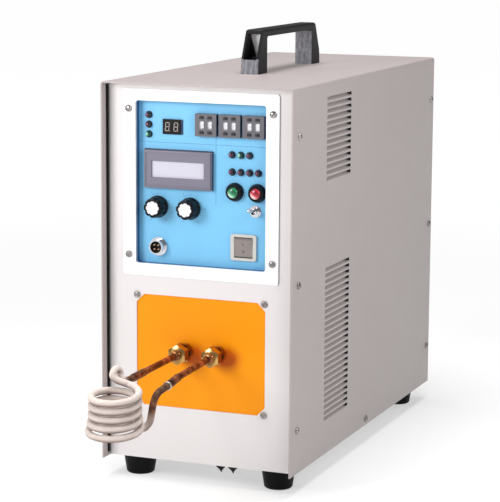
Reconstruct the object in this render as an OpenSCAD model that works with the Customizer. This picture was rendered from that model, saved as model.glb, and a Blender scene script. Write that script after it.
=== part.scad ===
// Bench induction heating machine with a hand-wound work coil.
// Lengths are in millimetres, +Z is up and the control face looks along -Y.

/* [Case] */
// Width of the cover
case_w = 220; // [212:1:236]
// Depth of the cover from front edge to rear edge
case_d = 502; // [470:1:540]
// Height of the cover
case_h = 414; // [408:1:440]
// Thickness of the sheet steel
sheet = 1.5; // [1.2:0.1:1.8]
// Outer radius of the cover's two top bends
cover_bend = 3; // [2.5:0.5:6]
// How far the front panel sits back from the cover's front edge
front_recess = 15; // [12:1:20]
// How far the rear panel sits in from the cover's rear edge
rear_recess = 4; // [3:1:8]
// Outer radius of the upright bends of the front and rear panels
panel_bend = 3; // [2.5:0.5:4]
// Depth of the side flanges of the front and rear panels
flange_d = 16; // [12:1:22]
// Height of the base tray's side flanges
tray_flange_h = 16; // [13:1:24]

/* [Louvres] */
// Length of one louvre
louvre_len = 80; // [60:1:100]
// Distance between louvres
louvre_pitch = 6.7; // [6:0.1:7]
// Height of one louvre's window
louvre_h = 4.4; // [3.5:0.1:4.8]
// How far a louvre's blade is pressed in
louvre_in = 3.4; // [2.5:0.1:4.5]
// Louvres in the upper group
louvre_upper = 14; // [8:1:15]
// Louvres in the lower group
louvre_lower = 26; // [16:1:27]

/* [Front windows] */
// Width of the control window and of the output window
window_w = 150; // [146:1:156]
// Height of the control window
window_h = 176; // [172:1:182]
// Height of the output window
output_h = 123; // [110:1:128]
// Cut of the output window's corners
output_cut = 9; // [7:0.5:12]
// Thickness of the bezel plate
bezel_t = 1.5; // [1:0.1:2.5]
// Depth of the blue control plate behind the bezel plate's face
window_depth = 10; // [8:0.5:13]
// Thickness of the orange insulating plate
insulator_t = 6; // [4:0.5:9]

/* [Controls] */
// Diameter of a knob
knob_d = 24; // [20:0.5:27]
// Height of a knob
knob_h = 16; // [13:0.5:19]
// Diameter of a push button's collar at the plate
collar_d = 20; // [17:0.5:22]
// Diameter of a push button's cap
cap_d = 12.5; // [10:0.5:13]
// Travel of a push button
button_travel = 2.5; // [1.5:0.1:3.5]
// Diameter of a lamp's dome
lamp_d = 6.4; // [5:0.1:7]
// Width of one thumbwheel block
thumb_w = 24.5; // [24:0.1:25.5]
// Height of one thumbwheel block
thumb_h = 24.2; // [23.6:0.1:26]
// How far the thumbwheel blocks stand out of the plate
thumb_out = 6; // [5:0.5:8]
// Travel of a thumbwheel's key
key_travel = 1; // [0.6:0.1:1.2]
// Width of the meter's bezel
meter_w = 79; // [76:0.5:80]
// Height of the meter's bezel
meter_h = 41; // [38:0.5:44]
// Width of the rocker switch's frame
rocker_w = 29.3; // [28:0.1:31]
// Height of the rocker switch's frame
rocker_h = 28.3; // [27:0.1:31]

/* [Output and work coil] */
// Distance between the two output tubes
output_gap = 38.6; // [34:0.2:46]
// Outer diameter of the copper tube
tube_d = 6; // [5:0.2:6.4]
// Outer diameter of the glass-fibre sleeve
sleeve_d = 7.6; // [7.2:0.1:7.8]
// Turns of the work coil
coil_turns = 5; // [3:1:5]
// Rise of one turn of the work coil
coil_pitch = 8.8; // [8.6:0.1:9.4]
// Radius of the upper turns, to the tube's centre
coil_r = 24.1; // [22.5:0.1:25]
// How much wider the lowest turn is, on the radius
coil_flare = 3.6; // [2.5:0.1:4]
// Distance of the coil's centre in front of the cover's front edge
coil_out = 155; // [152:1:160]
// Height of the coil's start above the cover's lower edge
coil_top = 116.8; // [115:0.2:118]

/* [Handle, feet and rear] */
// Length of the handle along the case
handle_len = 202; // [180:1:230]
// Height of the handle
handle_h = 49; // [44:1:60]
// Width of the handle
handle_w = 20.6; // [18:0.2:26]
// Height of the feet below the cover's lower edge
foot_h = 22; // [15:1:30]
// Diameter of a foot at the floor
foot_d = 31; // [28:1:34]
// Side of the square fan frame
fan_side = 120; // [110:1:124]
// Outer diameter of a water nozzle's barbs
nozzle_d = 11; // [9:0.5:13]
// Bore of the cable gland
gland_bore_d = 12; // [9:0.5:13]

/* [Hidden] */
$fn = 48;

// Clearances and cut overrun
seat_gap = 0.3;
run_gap = 0.05;
screw_gap = 0.15;
over = 1;

// Places along the length: the origin is under the middle of the whole machine, coil and nozzles included
nozzle_out = 34;
coil_front_share = 0.72;
front_reach = coil_out + coil_r + coil_front_share * coil_flare + sleeve_d / 2;
rear_reach = nozzle_out - rear_recess;
cover_front = (front_reach - case_d - rear_reach) / 2;
cover_rear = cover_front + case_d;
panel_y = cover_front + front_recess;
rear_y = cover_rear - rear_recess;

// Heights
base_z = foot_h;
top_z = foot_h + case_h;
panel_lift = 1;
tray_lift = 1.5;
tray_top = base_z + tray_lift + sheet;
inner_w = case_w - 2 * sheet;
panel_w = inner_w - 2 * seat_gap;
panel_bottom = base_z + panel_lift;
panel_top = top_z - sheet - seat_gap;

// Cover
louvre_start = 105;
louvre_upper_drop = 17;
louvre_lower_drop = 204;

// Side screws: rows of heights above the cover's lower edge
screw_d = 4;
screw_head_d = 7.6;
screw_head_h = 2.6;
screw_recess_d = 3;
screw_recess_h = 1.2;
side_front_in = 20;
side_rear_in = 11;
side_low_h = 8;
side_screw_drops = [52, 209, 366];
side_screw_len = 8;
front_screw_len = 12;
rear_screw_len = 9;
foot_screw_len = 12;
handle_screw_len = 22;

// Control window, measured from the cover's top edge down to its middle
window_top_gap = 20;
window_z = top_z - window_top_gap - window_h / 2;
window_r = 3;
bezel_side = 15;
bezel_low = 13.5;
bezel_high = 12;
bezel_w = window_w + 2 * bezel_side;
bezel_h = window_h + bezel_low + bezel_high;
bezel_z = window_z + (bezel_high - bezel_low) / 2;
bezel_r = 3;
bezel_screw_out = 8;
bezel_screw_in = 9;
plate_y = panel_y - bezel_t + window_depth;
pan_t = 1.2;
lip_w = 13;
stud_d = 6;
stud_x = 66;
stud_z = 82;

// Output window, measured from the cover's lower edge
output_low = 61;
output_z = base_z + output_low + output_h / 2;
insulator_margin = 9;
insulator_screw_in = 1;
shank_d = 12;
insulator_y = panel_y + sheet;

// Push buttons, lamps, knobs and switches: places from the control window's middle
button_z = -6;
button_x_list = [36.4, 62];
collar_out = 6;
collar_top_d = 17;
collar_shank_d = 15.6;
collar_shank_len = 15;
collar_wall = 1.5;
collar_lip = 2;
cap_out = 3.2;
cap_flange_d = cap_d + 1.4;
cap_flange_t = 1.5;
cap_len = 8.2;
collar_nut_d = 21;
collar_nut_t = 3;
collar_floor = 1.5;

lamp_flange_d = 8;
lamp_flange_t = 1;
lamp_out = 2;
lamp_back = 6;
lamp_pitch_x = 10;
lamp_pitch_z = 10.4;
lamp_column_x = -63.5;
lamp_column_z = 72.2;
lamp_row_x = 33;
lamp_row_upper_z = 33.5;
lamp_row_lower_z = 15.2;

knob_x_list = [-52.6, -14.8];
knob_z = -26.6;
knob_gap = 0.8;
knob_flutes = 18;
knob_flute_d = 2.4;
knob_skirt_h = 3;
knob_cap_d = 17;
knob_cap_t = 1.2;
knob_cap_in = 0.6;
shaft_d = 6;
shaft_grip = 9;
bushing_d = 7;
bushing_out = 5;
pot_d = 20;
pot_h = 9;
pot_nut_d = 11;
pot_nut_t = 1.6;

toggle_x = 59.8;
toggle_z = -25.6;
toggle_bushing_d = 6.8;
toggle_bushing_out = 7.5;
toggle_bore_d = 5.2;
toggle_nut_d = 11.5;
toggle_nut_t = 2.5;
toggle_washer_d = 13;
toggle_washer_t = 0.8;
toggle_body_w = 8;
toggle_body_h = 13;
toggle_body_d = 10;
toggle_ball_d = 4.2;
toggle_pivot = 4.2;
toggle_lever_len = 16;
toggle_lever_d = 2.2;
toggle_pin_d = 1.6;
toggle_tip_d = 4;
toggle_tilt = 13;

socket_x = -52;
socket_z = -70;
socket_d = 16;
socket_out = 9;
socket_flange_d = 20;
socket_flange_t = 2;
socket_bore_d = 13;
socket_back = 11;
socket_nut_t = 2.5;
insert_in = 1.6;
pin_d = 1.6;
pin_ring_d = 6.6;
pin_len = 5;

rocker_x = 47;
rocker_z = -65;
rocker_out = 2.5;
rocker_r = 3;
rocker_open_w = 21.4;
rocker_open_h = 22.4;
rocker_key_w = 20.8;
rocker_swing_d = 21.8;
rocker_pin_d = 2.4;
rocker_pivot_in = 3;
rocker_tilt = 6;
rocker_face = 4.2;
rocker_back = 4;
rocker_body_w = 24.4;
rocker_body_h = 25.4;
rocker_body_d = 22;
rocker_floor = 1.5;

display_x = -36.6;
display_z = 60.2;
display_w = 20.4;
display_h = 16.1;
display_out = 2;
display_back = 8;
display_window_w = 6.2;
display_window_h = 11;
display_window_in = 0.4;
display_digit_x = 5;

meter_x = -28.2;
meter_z = 14.4;
meter_out = 6;
meter_ridge = 1.6;
meter_ridge_in = 2.6;
meter_open_w = 61;
meter_open_h = 17.6;
meter_face_t = 0.8;
meter_body_w = 74;
meter_body_h = 35;
meter_body_d = 9;
meter_screen_w = 66;
meter_screen_h = 22;
meter_screen_t = 1.6;

thumb_x_list = [4.6, 31.8, 59];
thumb_z = 64;
thumb_body_w = 23;
thumb_body_h = 22.6;
thumb_body_d = 15;
digit_x = 4.6;
digit_window_w = 4.6;
digit_window_h = 8;
thumb_face_t = 2;
thumb_r = 0.75;
wheel_d = 15.6;
wheel_w = 6.4;
wheel_drop = 1.2;
wheel_bore_d = 3;
key_w = 4;
key_h = 2.5;
key_z = 8;
key_out = 1.2;
key_flange = 0.5;
key_flange_t = 0.8;
key_pocket_d = key_travel + key_flange_t + 2 * seat_gap;

// Output fittings
union_rise = 123.5;
union_z = base_z + union_rise;
union_af = 19;
union_hex_t = 6;
union_neck_d = 14;
union_neck_t = 4;
union_nut_t = 12;
union_nut_chamfer = 2;
union_shank_len = 22;

// Copper tube and work coil: the tube runs from one union through the coil to the other union
coil_x = -20.4;
coil_start = 80;
coil_lean = 7;
coil_tip = 3.5;
flare_from = 2.2;
flare_power = 1.6;
coil_c = [coil_x, cover_front - coil_out, base_z + coil_top];
steps = 24;
tube_sides = 6;
curve_steps = 5;
coupling_d = 8.4;
coupling_len = 28;
coupling_nose = 1.2;
sleeve_gap = 0.15;
tube_end_out = 115;
left_mid_rise = 122.7;
left_end_rise = 122.3;
right_mid_rise = 120.8;
right_end_rise = 117.4;

// Handle
handle_shift = 3;
handle_open = 145;
handle_open_h = 41;
handle_slope = 15;
handle_foot_h = 16;
handle_foot_in = 1.5;
handle_wall = 2.6;
handle_web = 3;
handle_r = 3;
handle_inner_r = 3;
handle_cut_top = 5;

// Feet
foot_top_d = 38;
foot_x = 82;
foot_end_in = 40;
foot_edge = 1.5;
foot_hole_d = 9;
foot_floor = 6;

// Clips under the front edge
clip_x_list = [22, 36];
clip_in = 6;
clip_d = 9.6;
clip_tip = 8.5;
clip_neck_d = 5;
clip_head_d = 11;
clip_head_t = 1.6;

// Rear
fan_z = 300;
fan_hole_out = 52.5;
fan_t = 25;
fan_wall = 2;
fan_tip_gap = 1;
fan_hub_d = 42;
fan_hub_wall = 1.5;
fan_boss_d = 46;
fan_boss_t = 3;
fan_strut_w = 5;
fan_shaft_d = 4;
fan_boss_hole = 6;
fan_blades = 7;
fan_blade_t = 1.4;
fan_blade_tilt = 38;
fan_blade_w = 30;
fan_end_gap = 1.2;
fan_hole_d = 4.3;
grille_rings = 6;
grille_slot = 5.6;
grille_web = 2.6;
grille_hub_d = 32;
grille_bar = 5;
nozzle_x_list = [-62, -18];
nozzle_z = 84;
nozzle_bore_d = 6;
nozzle_barbs = 4;
nozzle_barb_pitch = 5;
nozzle_neck_d = 8.6;
nozzle_hex_af = 17;
nozzle_hex_t = 6;
nozzle_thread_d = 12;
nozzle_back = 14;
nozzle_nut_t = 5;
gland_x = 52;
gland_z = 88;
gland_thread_d = 20;
gland_hex_af = 24;
gland_hex_t = 5;
gland_dome_d = 22;
gland_dome_t = 12;
gland_back = 11;
gland_nut_t = 5;

// Inner assemblies
transformer_y = 46;
core_w = 120;
core_h = 96;
core_d = 70;
core_bar_d = 22;
core_leg_w = 14;
core_edge = 6;
capacitor_d = 40;
capacitor_h = 56;
capacitor_gap = 18;
module_w = 150;
module_d = 190;
module_h = 26;
module_back = 74;
module_block_w = 62;
module_block_d = 106;
module_block_h = 30;
module_block_gap = 10;
module_bar_t = 3;
module_port_d = 12;
module_port_len = 14;
board_w = 144;
board_h = 168;
board_t = 1.6;
board_out = 30;
board_part_w = 34;
board_part_h = 22;
board_part_d = 12;
board_parts_share = [[-0.3, 0.3], [0.12, 0.3], [-0.3, -0.02], [0.12, -0.02], [-0.3, -0.34], [0.12, -0.34]];

module along_y(start, len) {
    translate([0, start + len, 0]) rotate([90, 0, 0]) linear_extrude(len) children();
}

module along_x(start, len) {
    translate([start, 0, 0]) rotate([90, 0, 90]) linear_extrude(len) children();
}

// Local z points out of the machine's face, local x stays x and local y is up
module out_front(x, y, z) {
    translate([x, y, z]) rotate([90, 0, 0]) children();
}

// Local z points out of the rear
module out_rear(x, y, z) {
    translate([x, y, z]) rotate([-90, 0, 0]) children();
}

module on_plate(x, z) {
    out_front(x, plate_y, window_z + z) children();
}

module round_rect(w, h, r) {
    square([w - 2 * r, h], center = true);
    square([w, h - 2 * r], center = true);
    for (sx = [-1, 1], sy = [-1, 1])
        translate([sx * (w / 2 - r), sy * (h / 2 - r)]) circle(r);
}

module cut_rect(w, h, cut) {
    polygon([for (q = [[1, -1], [1, 1], [-1, 1], [-1, -1]], k = [0, 1])
        let (first = (q[0] * q[1] < 0) == (k == 0))
        first ? [q[0] * (w / 2 - cut), q[1] * h / 2] : [q[0] * w / 2, q[1] * (h / 2 - cut)]]);
}

// A sheet bent to a channel: web on the x axis, side flanges towards +y
module bent(w, d, r) {
    translate([-w / 2, r]) square([w, d - r]);
    translate([-w / 2 + r, 0]) square([w - 2 * r, 2 * r]);
    for (s = [-1, 1]) translate([s * (w / 2 - r), r]) circle(r);
}

module channel(w, d, t, r) {
    difference() {
        bent(w, d, r);
        translate([0, t]) bent(w - 2 * t, d, r - t);
    }
}

module hexagon(across_flats) {
    circle(d = across_flats / cos(30), $fn = 6);
}

module tube(outer, inner, len) {
    difference() {
        cylinder(d = outer, h = len);
        translate([0, 0, -over]) cylinder(d = inner, h = len + 2 * over);
    }
}

// Heights of the louvre windows' upper edges
function louvre_tops() = concat(
    [for (i = [0:louvre_upper - 1]) top_z - louvre_upper_drop - i * louvre_pitch],
    [for (i = [0:louvre_lower - 1]) top_z - louvre_lower_drop - i * louvre_pitch]);

module louvre_windows() {
    for (s = [-1, 1], z = louvre_tops())
        translate([s * case_w / 2 - sheet, z - louvre_h]) square([2 * sheet, louvre_h]);
}

module louvre_blades() {
    for (s = [-1, 1], z = louvre_tops())
        polygon([
            [s * case_w / 2, z - louvre_h - sheet / 2],
            [s * case_w / 2, z - louvre_h],
            [s * (case_w / 2 - louvre_in), z],
            [s * (case_w / 2 - louvre_in - sheet), z],
            [s * (case_w / 2 - sheet), z - louvre_h],
            [s * (case_w / 2 - sheet), z - louvre_h - sheet / 2]]);
}

module side_screw_places() {
    for (s = [-1, 1]) {
        for (drop = side_screw_drops, y = [cover_front + side_front_in, cover_rear - side_rear_in])
            translate([s * case_w / 2, y, top_z - drop]) rotate([0, s * 90, 0]) children();
        translate([s * case_w / 2, cover_front + case_d / 2, base_z + side_low_h])
            rotate([0, s * 90, 0]) children();
    }
}

module handle_screw_places() {
    for (s = [-1, 1])
        translate([0, handle_y + s * (handle_open / 2 + handle_leg / 2), top_z]) children();
}

module screw_hole(len) {
    translate([0, 0, -len]) cylinder(d = screw_d + 2 * screw_gap, h = len + over, $fn = 24);
}

module cover() {
    color([0.80, 0.79, 0.77]) difference() {
        union() {
            difference() {
                along_y(cover_front, case_d)
                    translate([0, top_z]) mirror([0, 1]) channel(case_w, case_h, sheet, cover_bend);
                along_y(cover_front + louvre_start, louvre_len) louvre_windows();
            }
            along_y(cover_front + louvre_start, louvre_len) louvre_blades();
        }
        side_screw_places() screw_hole(2 * sheet);
        handle_screw_places() screw_hole(2 * sheet);
    }
}

foot_places = [for (sx = [-1, 1], y = [cover_front + foot_end_in, cover_rear - foot_end_in]) [sx * foot_x, y]];
tray_front = panel_y + sheet + seat_gap;
tray_rear = rear_y - sheet - seat_gap;
tray_flange_in = flange_d + seat_gap;

module base_plate() {
    tray_w = panel_w;
    color([0.72, 0.72, 0.71]) difference() {
        union() {
            translate([-tray_w / 2, tray_front, base_z + tray_lift])
                cube([tray_w, tray_rear - tray_front, sheet]);
            for (s = [0, 1])
                translate([s * (tray_w - sheet) - tray_w / 2, tray_front + tray_flange_in, base_z + tray_lift])
                    cube([sheet, tray_rear - tray_front - 2 * tray_flange_in, tray_flange_h]);
        }
        side_screw_places() screw_hole(4 * sheet);
        for (p = foot_places)
            translate([p[0], p[1], tray_top]) screw_hole(2 * sheet);
        for (x = clip_x_list)
            translate([x, tray_front + clip_in, base_z]) cylinder(d = clip_neck_d + 2 * screw_gap, h = foot_h);
    }
}

bezel_screw_places = [for (sx = [-1, 1], sz = [-1, 1])
    [sx * (window_w / 2 + bezel_screw_out), window_z + sz * (window_h / 2 - bezel_screw_in)]];
insulator_screw_places = [for (sx = [-1, 1], sz = [-1, 1])
    [sx * (window_w / 2 - insulator_screw_in), output_z + sz * (output_h / 2 - insulator_screw_in)]];

module front_holes(places, y) {
    for (p = places) out_front(p[0], y, p[1]) screw_hole(front_screw_len);
}

// Room for the tray under the side flanges of the front and rear panels
module tray_room(start, len) {
    translate([-case_w / 2, start, base_z]) cube([case_w, len, tray_top - base_z + seat_gap]);
}

module front_panel() {
    color([0.93, 0.92, 0.91]) difference() {
        translate([0, panel_y, panel_bottom])
            linear_extrude(panel_top - panel_bottom) channel(panel_w, flange_d, sheet, panel_bend);
        tray_room(panel_y + sheet, flange_d);
        along_y(panel_y - over, sheet + 2 * over) translate([0, window_z]) round_rect(window_w, window_h, window_r);
        along_y(panel_y - over, sheet + 2 * over) translate([0, output_z]) cut_rect(window_w, output_h, output_cut);
        front_holes(bezel_screw_places, panel_y);
        front_holes(insulator_screw_places, panel_y);
        side_screw_places() screw_hole(4 * sheet);
    }
}

module bezel_plate() {
    color([0.95, 0.95, 0.94]) difference() {
        along_y(panel_y - bezel_t, bezel_t) difference() {
            translate([0, bezel_z]) round_rect(bezel_w, bezel_h, bezel_r);
            translate([0, window_z]) round_rect(window_w, window_h, window_r);
        }
        front_holes(bezel_screw_places, panel_y - bezel_t);
    }
}

module plate_cut(x, z, w, h) {
    on_plate(x, z) translate([-w / 2, -h / 2, -2 * pan_t]) cube([w, h, 4 * pan_t]);
}

module plate_hole(x, z, d) {
    on_plate(x, z) translate([0, 0, -2 * pan_t]) cylinder(d = d + 2 * screw_gap, h = 4 * pan_t);
}

function lamp_places(red) = [for (p = [
        [lamp_column_x, lamp_column_z, true],
        [lamp_column_x, lamp_column_z - lamp_pitch_z, true],
        [lamp_column_x, lamp_column_z - 2 * lamp_pitch_z, false],
        [lamp_row_x, lamp_row_upper_z, true],
        [lamp_row_x + lamp_pitch_x, lamp_row_upper_z, false],
        [lamp_row_x + 2 * lamp_pitch_x, lamp_row_upper_z, true],
        for (i = [0:3]) [lamp_row_x + i * lamp_pitch_x, lamp_row_lower_z, true]])
    if (p[2] == red) [p[0], p[1]]];

module control_plate() {
    color([0.36, 0.68, 0.90]) difference() {
        union() {
            along_y(insulator_y, pan_t)
                translate([0, window_z]) square([window_w + 2 * lip_w, window_h + 2 * lip_w], center = true);
            along_y(insulator_y, plate_y + pan_t - insulator_y)
                translate([0, window_z]) round_rect(window_w + 2 * pan_t, window_h + 2 * pan_t, window_r + pan_t);
            for (sx = [-1, 1], sz = [-1, 1])
                on_plate(sx * stud_x, sz * stud_z) translate([0, 0, -board_out - pan_t]) cylinder(d = stud_d, h = board_out);
        }
        along_y(panel_y, plate_y - panel_y) translate([0, window_z]) round_rect(window_w, window_h, window_r);
        front_holes(bezel_screw_places, panel_y);
        for (red = [true, false], p = lamp_places(red)) plate_hole(p[0], p[1], lamp_d);
        for (x = button_x_list) plate_hole(x, button_z, collar_shank_d);
        for (x = knob_x_list) plate_hole(x, knob_z, bushing_d);
        plate_hole(toggle_x, toggle_z, toggle_bushing_d);
        plate_hole(socket_x, socket_z, socket_d);
        plate_cut(rocker_x, rocker_z, rocker_body_w + 2 * seat_gap, rocker_body_h + 2 * seat_gap);
        plate_cut(display_x, display_z, display_w - 2, display_h - 2);
        plate_cut(meter_x, meter_z, meter_body_w + 2 * seat_gap, meter_body_h + 2 * seat_gap);
        for (x = thumb_x_list) plate_cut(x, thumb_z, thumb_body_w + 2 * seat_gap, thumb_body_h + 2 * seat_gap);
    }
}

module insulating_plate() {
    color([0.98, 0.62, 0.10]) difference() {
        along_y(insulator_y, insulator_t) translate([0, output_z])
            square([window_w + 2 * insulator_margin, output_h + 2 * insulator_margin], center = true);
        front_holes(insulator_screw_places, panel_y);
        for (s = [-1, 1]) out_front(s * output_gap / 2, insulator_y, union_z)
            translate([0, 0, -insulator_t - over]) cylinder(d = shank_d + 2 * screw_gap, h = insulator_t + 2 * over);
    }
}

module grille() {
    difference() {
        for (i = [0:grille_rings - 1]) {
            inner = grille_hub_d / 2 + i * (grille_slot + grille_web);
            difference() {
                circle(inner + grille_slot);
                circle(inner);
            }
        }
        for (a = [45, 135]) rotate(a) square([2 * fan_side, grille_bar], center = true);
    }
}

fan_centre_z = base_z + fan_z;

module fan_holes(y, len) {
    for (sx = [-1, 1], sz = [-1, 1])
        out_rear(sx * fan_hole_out, y, fan_centre_z + sz * fan_hole_out)
            translate([0, 0, -len]) cylinder(d = fan_hole_d, h = len + over, $fn = 24);
}

module rear_panel() {
    color([0.93, 0.92, 0.91]) difference() {
        translate([0, rear_y, panel_bottom]) mirror([0, 1, 0])
            linear_extrude(panel_top - panel_bottom) channel(panel_w, flange_d, sheet, panel_bend);
        tray_room(rear_y - sheet - flange_d, flange_d);
        along_y(rear_y - sheet - over, sheet + 2 * over) translate([0, fan_centre_z]) grille();
        fan_holes(rear_y, 2 * sheet);
        for (x = nozzle_x_list) out_rear(x, rear_y, base_z + nozzle_z)
            translate([0, 0, -2 * sheet]) cylinder(d = nozzle_thread_d + 2 * screw_gap, h = 2 * sheet + over);
        out_rear(gland_x, rear_y, base_z + gland_z)
            translate([0, 0, -2 * sheet]) cylinder(d = gland_thread_d + 2 * screw_gap, h = 2 * sheet + over);
        side_screw_places() screw_hole(4 * sheet);
    }
}

handle_y = cover_front + case_d / 2 + handle_shift;
handle_leg = (handle_len - handle_open) / 2;

module handle_profile() {
    difference() {
        union() {
            polygon([
                [-handle_len / 2, 0],
                [-handle_len / 2 + handle_foot_in, handle_foot_h],
                [-handle_len / 2 + handle_slope, handle_h - handle_r],
                [-handle_len / 2 + handle_slope + handle_r, handle_h],
                [handle_len / 2 - handle_slope - handle_r, handle_h],
                [handle_len / 2 - handle_slope, handle_h - handle_r],
                [handle_len / 2 - handle_foot_in, handle_foot_h],
                [handle_len / 2, 0]]);
            for (s = [-1, 1])
                translate([s * (handle_len / 2 - handle_slope - handle_r), handle_h - handle_r]) circle(handle_r);
        }
        translate([-handle_open / 2, -over]) square([handle_open, handle_open_h - handle_inner_r + over]);
        translate([-handle_open / 2 + handle_inner_r, 0])
            square([handle_open - 2 * handle_inner_r, handle_open_h]);
        for (s = [-1, 1])
            translate([s * (handle_open / 2 - handle_inner_r), handle_open_h - handle_inner_r])
                circle(handle_inner_r);
    }
}

module handle() {
    color([0.10, 0.10, 0.11]) difference() {
        intersection() {
            along_x(-handle_w / 2, handle_w) translate([handle_y, top_z]) handle_profile();
            along_y(handle_y - handle_len, 2 * handle_len) translate([0, top_z + handle_h])
                mirror([0, 1]) bent(handle_w, handle_h, handle_r);
        }
        for (s = [-1, 1])
            translate([0, handle_y + s * (handle_open / 2 + handle_web), top_z + handle_foot_h])
                mirror([0, s < 0 ? 1 : 0, 0])
                    translate([-handle_w / 2 + handle_wall, 0, 0])
                        cube([handle_w - 2 * handle_wall, handle_leg, handle_h - handle_foot_h - handle_cut_top]);
        handle_screw_places() translate([0, 0, handle_foot_h]) screw_hole(handle_foot_h + over);
    }
}

module rubber_feet() {
    foot_len = foot_h + tray_lift;
    color([0.07, 0.07, 0.08]) for (p = foot_places) translate([p[0], p[1], 0])
        rotate_extrude($fn = 64) polygon([
            [foot_hole_d / 2, 0],
            [foot_d / 2 - foot_edge, 0],
            [foot_d / 2, foot_edge],
            [foot_top_d / 2, foot_len],
            [screw_d / 2 + screw_gap, foot_len],
            [screw_d / 2 + screw_gap, foot_len - foot_floor],
            [foot_hole_d / 2, foot_len - foot_floor]]);
}

// Pan-head screw: local z = 0 is the face that the head sits on
module screw(len) {
    difference() {
        rotate_extrude($fn = 24) {
            square([screw_d / 2, screw_head_h / 2]);
            translate([0, -len]) square([screw_d / 2, len]);
            polygon([
                [0, 0],
                [screw_head_d / 2, 0],
                [screw_head_d / 2, screw_head_h / 3],
                [screw_head_d / 3, screw_head_h],
                [0, screw_head_h]]);
        }
        translate([0, 0, screw_head_h - screw_recess_h]) cylinder(d = screw_recess_d, h = screw_head_h, $fn = 4);
    }
}

module case_screws() {
    color([0.75, 0.75, 0.77]) {
        side_screw_places() screw(side_screw_len);
        for (p = bezel_screw_places) out_front(p[0], panel_y - bezel_t, p[1]) screw(front_screw_len - bezel_t);
        for (p = insulator_screw_places) out_front(p[0], panel_y, p[1]) screw(front_screw_len - over);
        for (sx = [-1, 1], sz = [-1, 1])
            out_rear(sx * fan_hole_out, rear_y, fan_centre_z + sz * fan_hole_out) screw(rear_screw_len);
        for (p = foot_places)
            translate([p[0], p[1], foot_h + tray_lift - foot_floor]) mirror([0, 0, 1]) screw(foot_screw_len);
        handle_screw_places() translate([0, 0, handle_foot_h]) screw(handle_screw_len);
    }
}

module base_clips() {
    color([0.05, 0.05, 0.06]) for (x = clip_x_list) translate([x, tray_front + clip_in, 0])
        rotate_extrude() polygon([
            [0, base_z - clip_tip],
            [clip_d / 2, base_z + tray_lift],
            [clip_neck_d / 2, base_z + tray_lift],
            [clip_neck_d / 2, tray_top],
            [clip_head_d / 2, tray_top],
            [clip_head_d / 2, tray_top + clip_head_t],
            [0, tray_top + clip_head_t]]);
}

module knob(x) {
    on_plate(x, knob_z) {
        color([0.06, 0.06, 0.07]) difference() {
            union() {
                translate([0, 0, knob_gap]) cylinder(d = knob_d, h = knob_skirt_h);
                translate([0, 0, knob_gap + knob_skirt_h]) difference() {
                    cylinder(d = knob_d - 1, h = knob_h - knob_skirt_h);
                    for (i = [0:knob_flutes - 1]) rotate(i * 360 / knob_flutes)
                        translate([knob_d / 2, 0, -over]) cylinder(d = knob_flute_d, h = knob_h, $fn = 16);
                }
            }
            translate([0, 0, knob_gap + knob_h - knob_cap_in]) cylinder(d = knob_cap_d, h = knob_cap_t);
            translate([0, 0, -over]) cylinder(d = shaft_d + 2 * run_gap, h = bushing_out + shaft_grip + seat_gap + over);
            translate([0, 0, -over]) cylinder(d = pot_nut_d + 2 * seat_gap, h = bushing_out + seat_gap + over);
        }
        color([0.75, 0.75, 0.77]) translate([0, 0, -pot_h / 2])
            cylinder(d = shaft_d, h = pot_h / 2 + bushing_out + shaft_grip);
    }
}

module knob_cap(x) {
    on_plate(x, knob_z) color([0.88, 0.88, 0.90])
        translate([0, 0, knob_gap + knob_h - knob_cap_in]) cylinder(d = knob_cap_d, h = knob_cap_t);
}

module potentiometers() {
    color([0.55, 0.56, 0.58]) for (x = knob_x_list) on_plate(x, knob_z) {
        difference() {
            union() {
                translate([0, 0, -pan_t - pot_h]) cylinder(d = pot_d, h = pot_h);
                translate([0, 0, -pan_t - over]) cylinder(d = bushing_d, h = pan_t + bushing_out + over);
                linear_extrude(pot_nut_t) circle(d = pot_nut_d, $fn = 6);
            }
            translate([0, 0, -pot_h / 2 - seat_gap]) cylinder(d = shaft_d + 2 * run_gap, h = pot_h + bushing_out);
        }
    }
}

module button_cap(x) {
    on_plate(x, button_z) {
        translate([0, 0, collar_out + cap_out - cap_len]) cylinder(d = cap_d, h = cap_len);
        translate([0, 0, collar_out - collar_lip - seat_gap - cap_flange_t])
            cylinder(d = cap_flange_d, h = cap_flange_t);
    }
}

module start_button() {
    color([0.10, 0.55, 0.30]) button_cap(button_x_list[0]);
}

module stop_button() {
    color([0.72, 0.12, 0.16]) button_cap(button_x_list[1]);
}

module button_collars() {
    color([0.05, 0.05, 0.06]) for (x = button_x_list) on_plate(x, button_z) {
        difference() {
            rotate_extrude($fn = 64) polygon([
                [0, -pan_t - collar_shank_len],
                [collar_shank_d / 2, -pan_t - collar_shank_len],
                [collar_shank_d / 2, 0],
                [collar_d / 2, 0],
                [collar_d / 2, collar_out / 3],
                [collar_top_d / 2, collar_out],
                [0, collar_out]]);
            cylinder(d = cap_d + 2 * run_gap, h = collar_out + over);
            translate([0, 0, collar_floor - pan_t - collar_shank_len])
                cylinder(d = cap_flange_d + 2 * seat_gap, h = collar_out - collar_lip + pan_t + collar_shank_len - collar_floor);
        }
        translate([0, 0, -pan_t - collar_nut_t]) tube(collar_nut_d, collar_shank_d + 2 * run_gap, collar_nut_t);
    }
}

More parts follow.
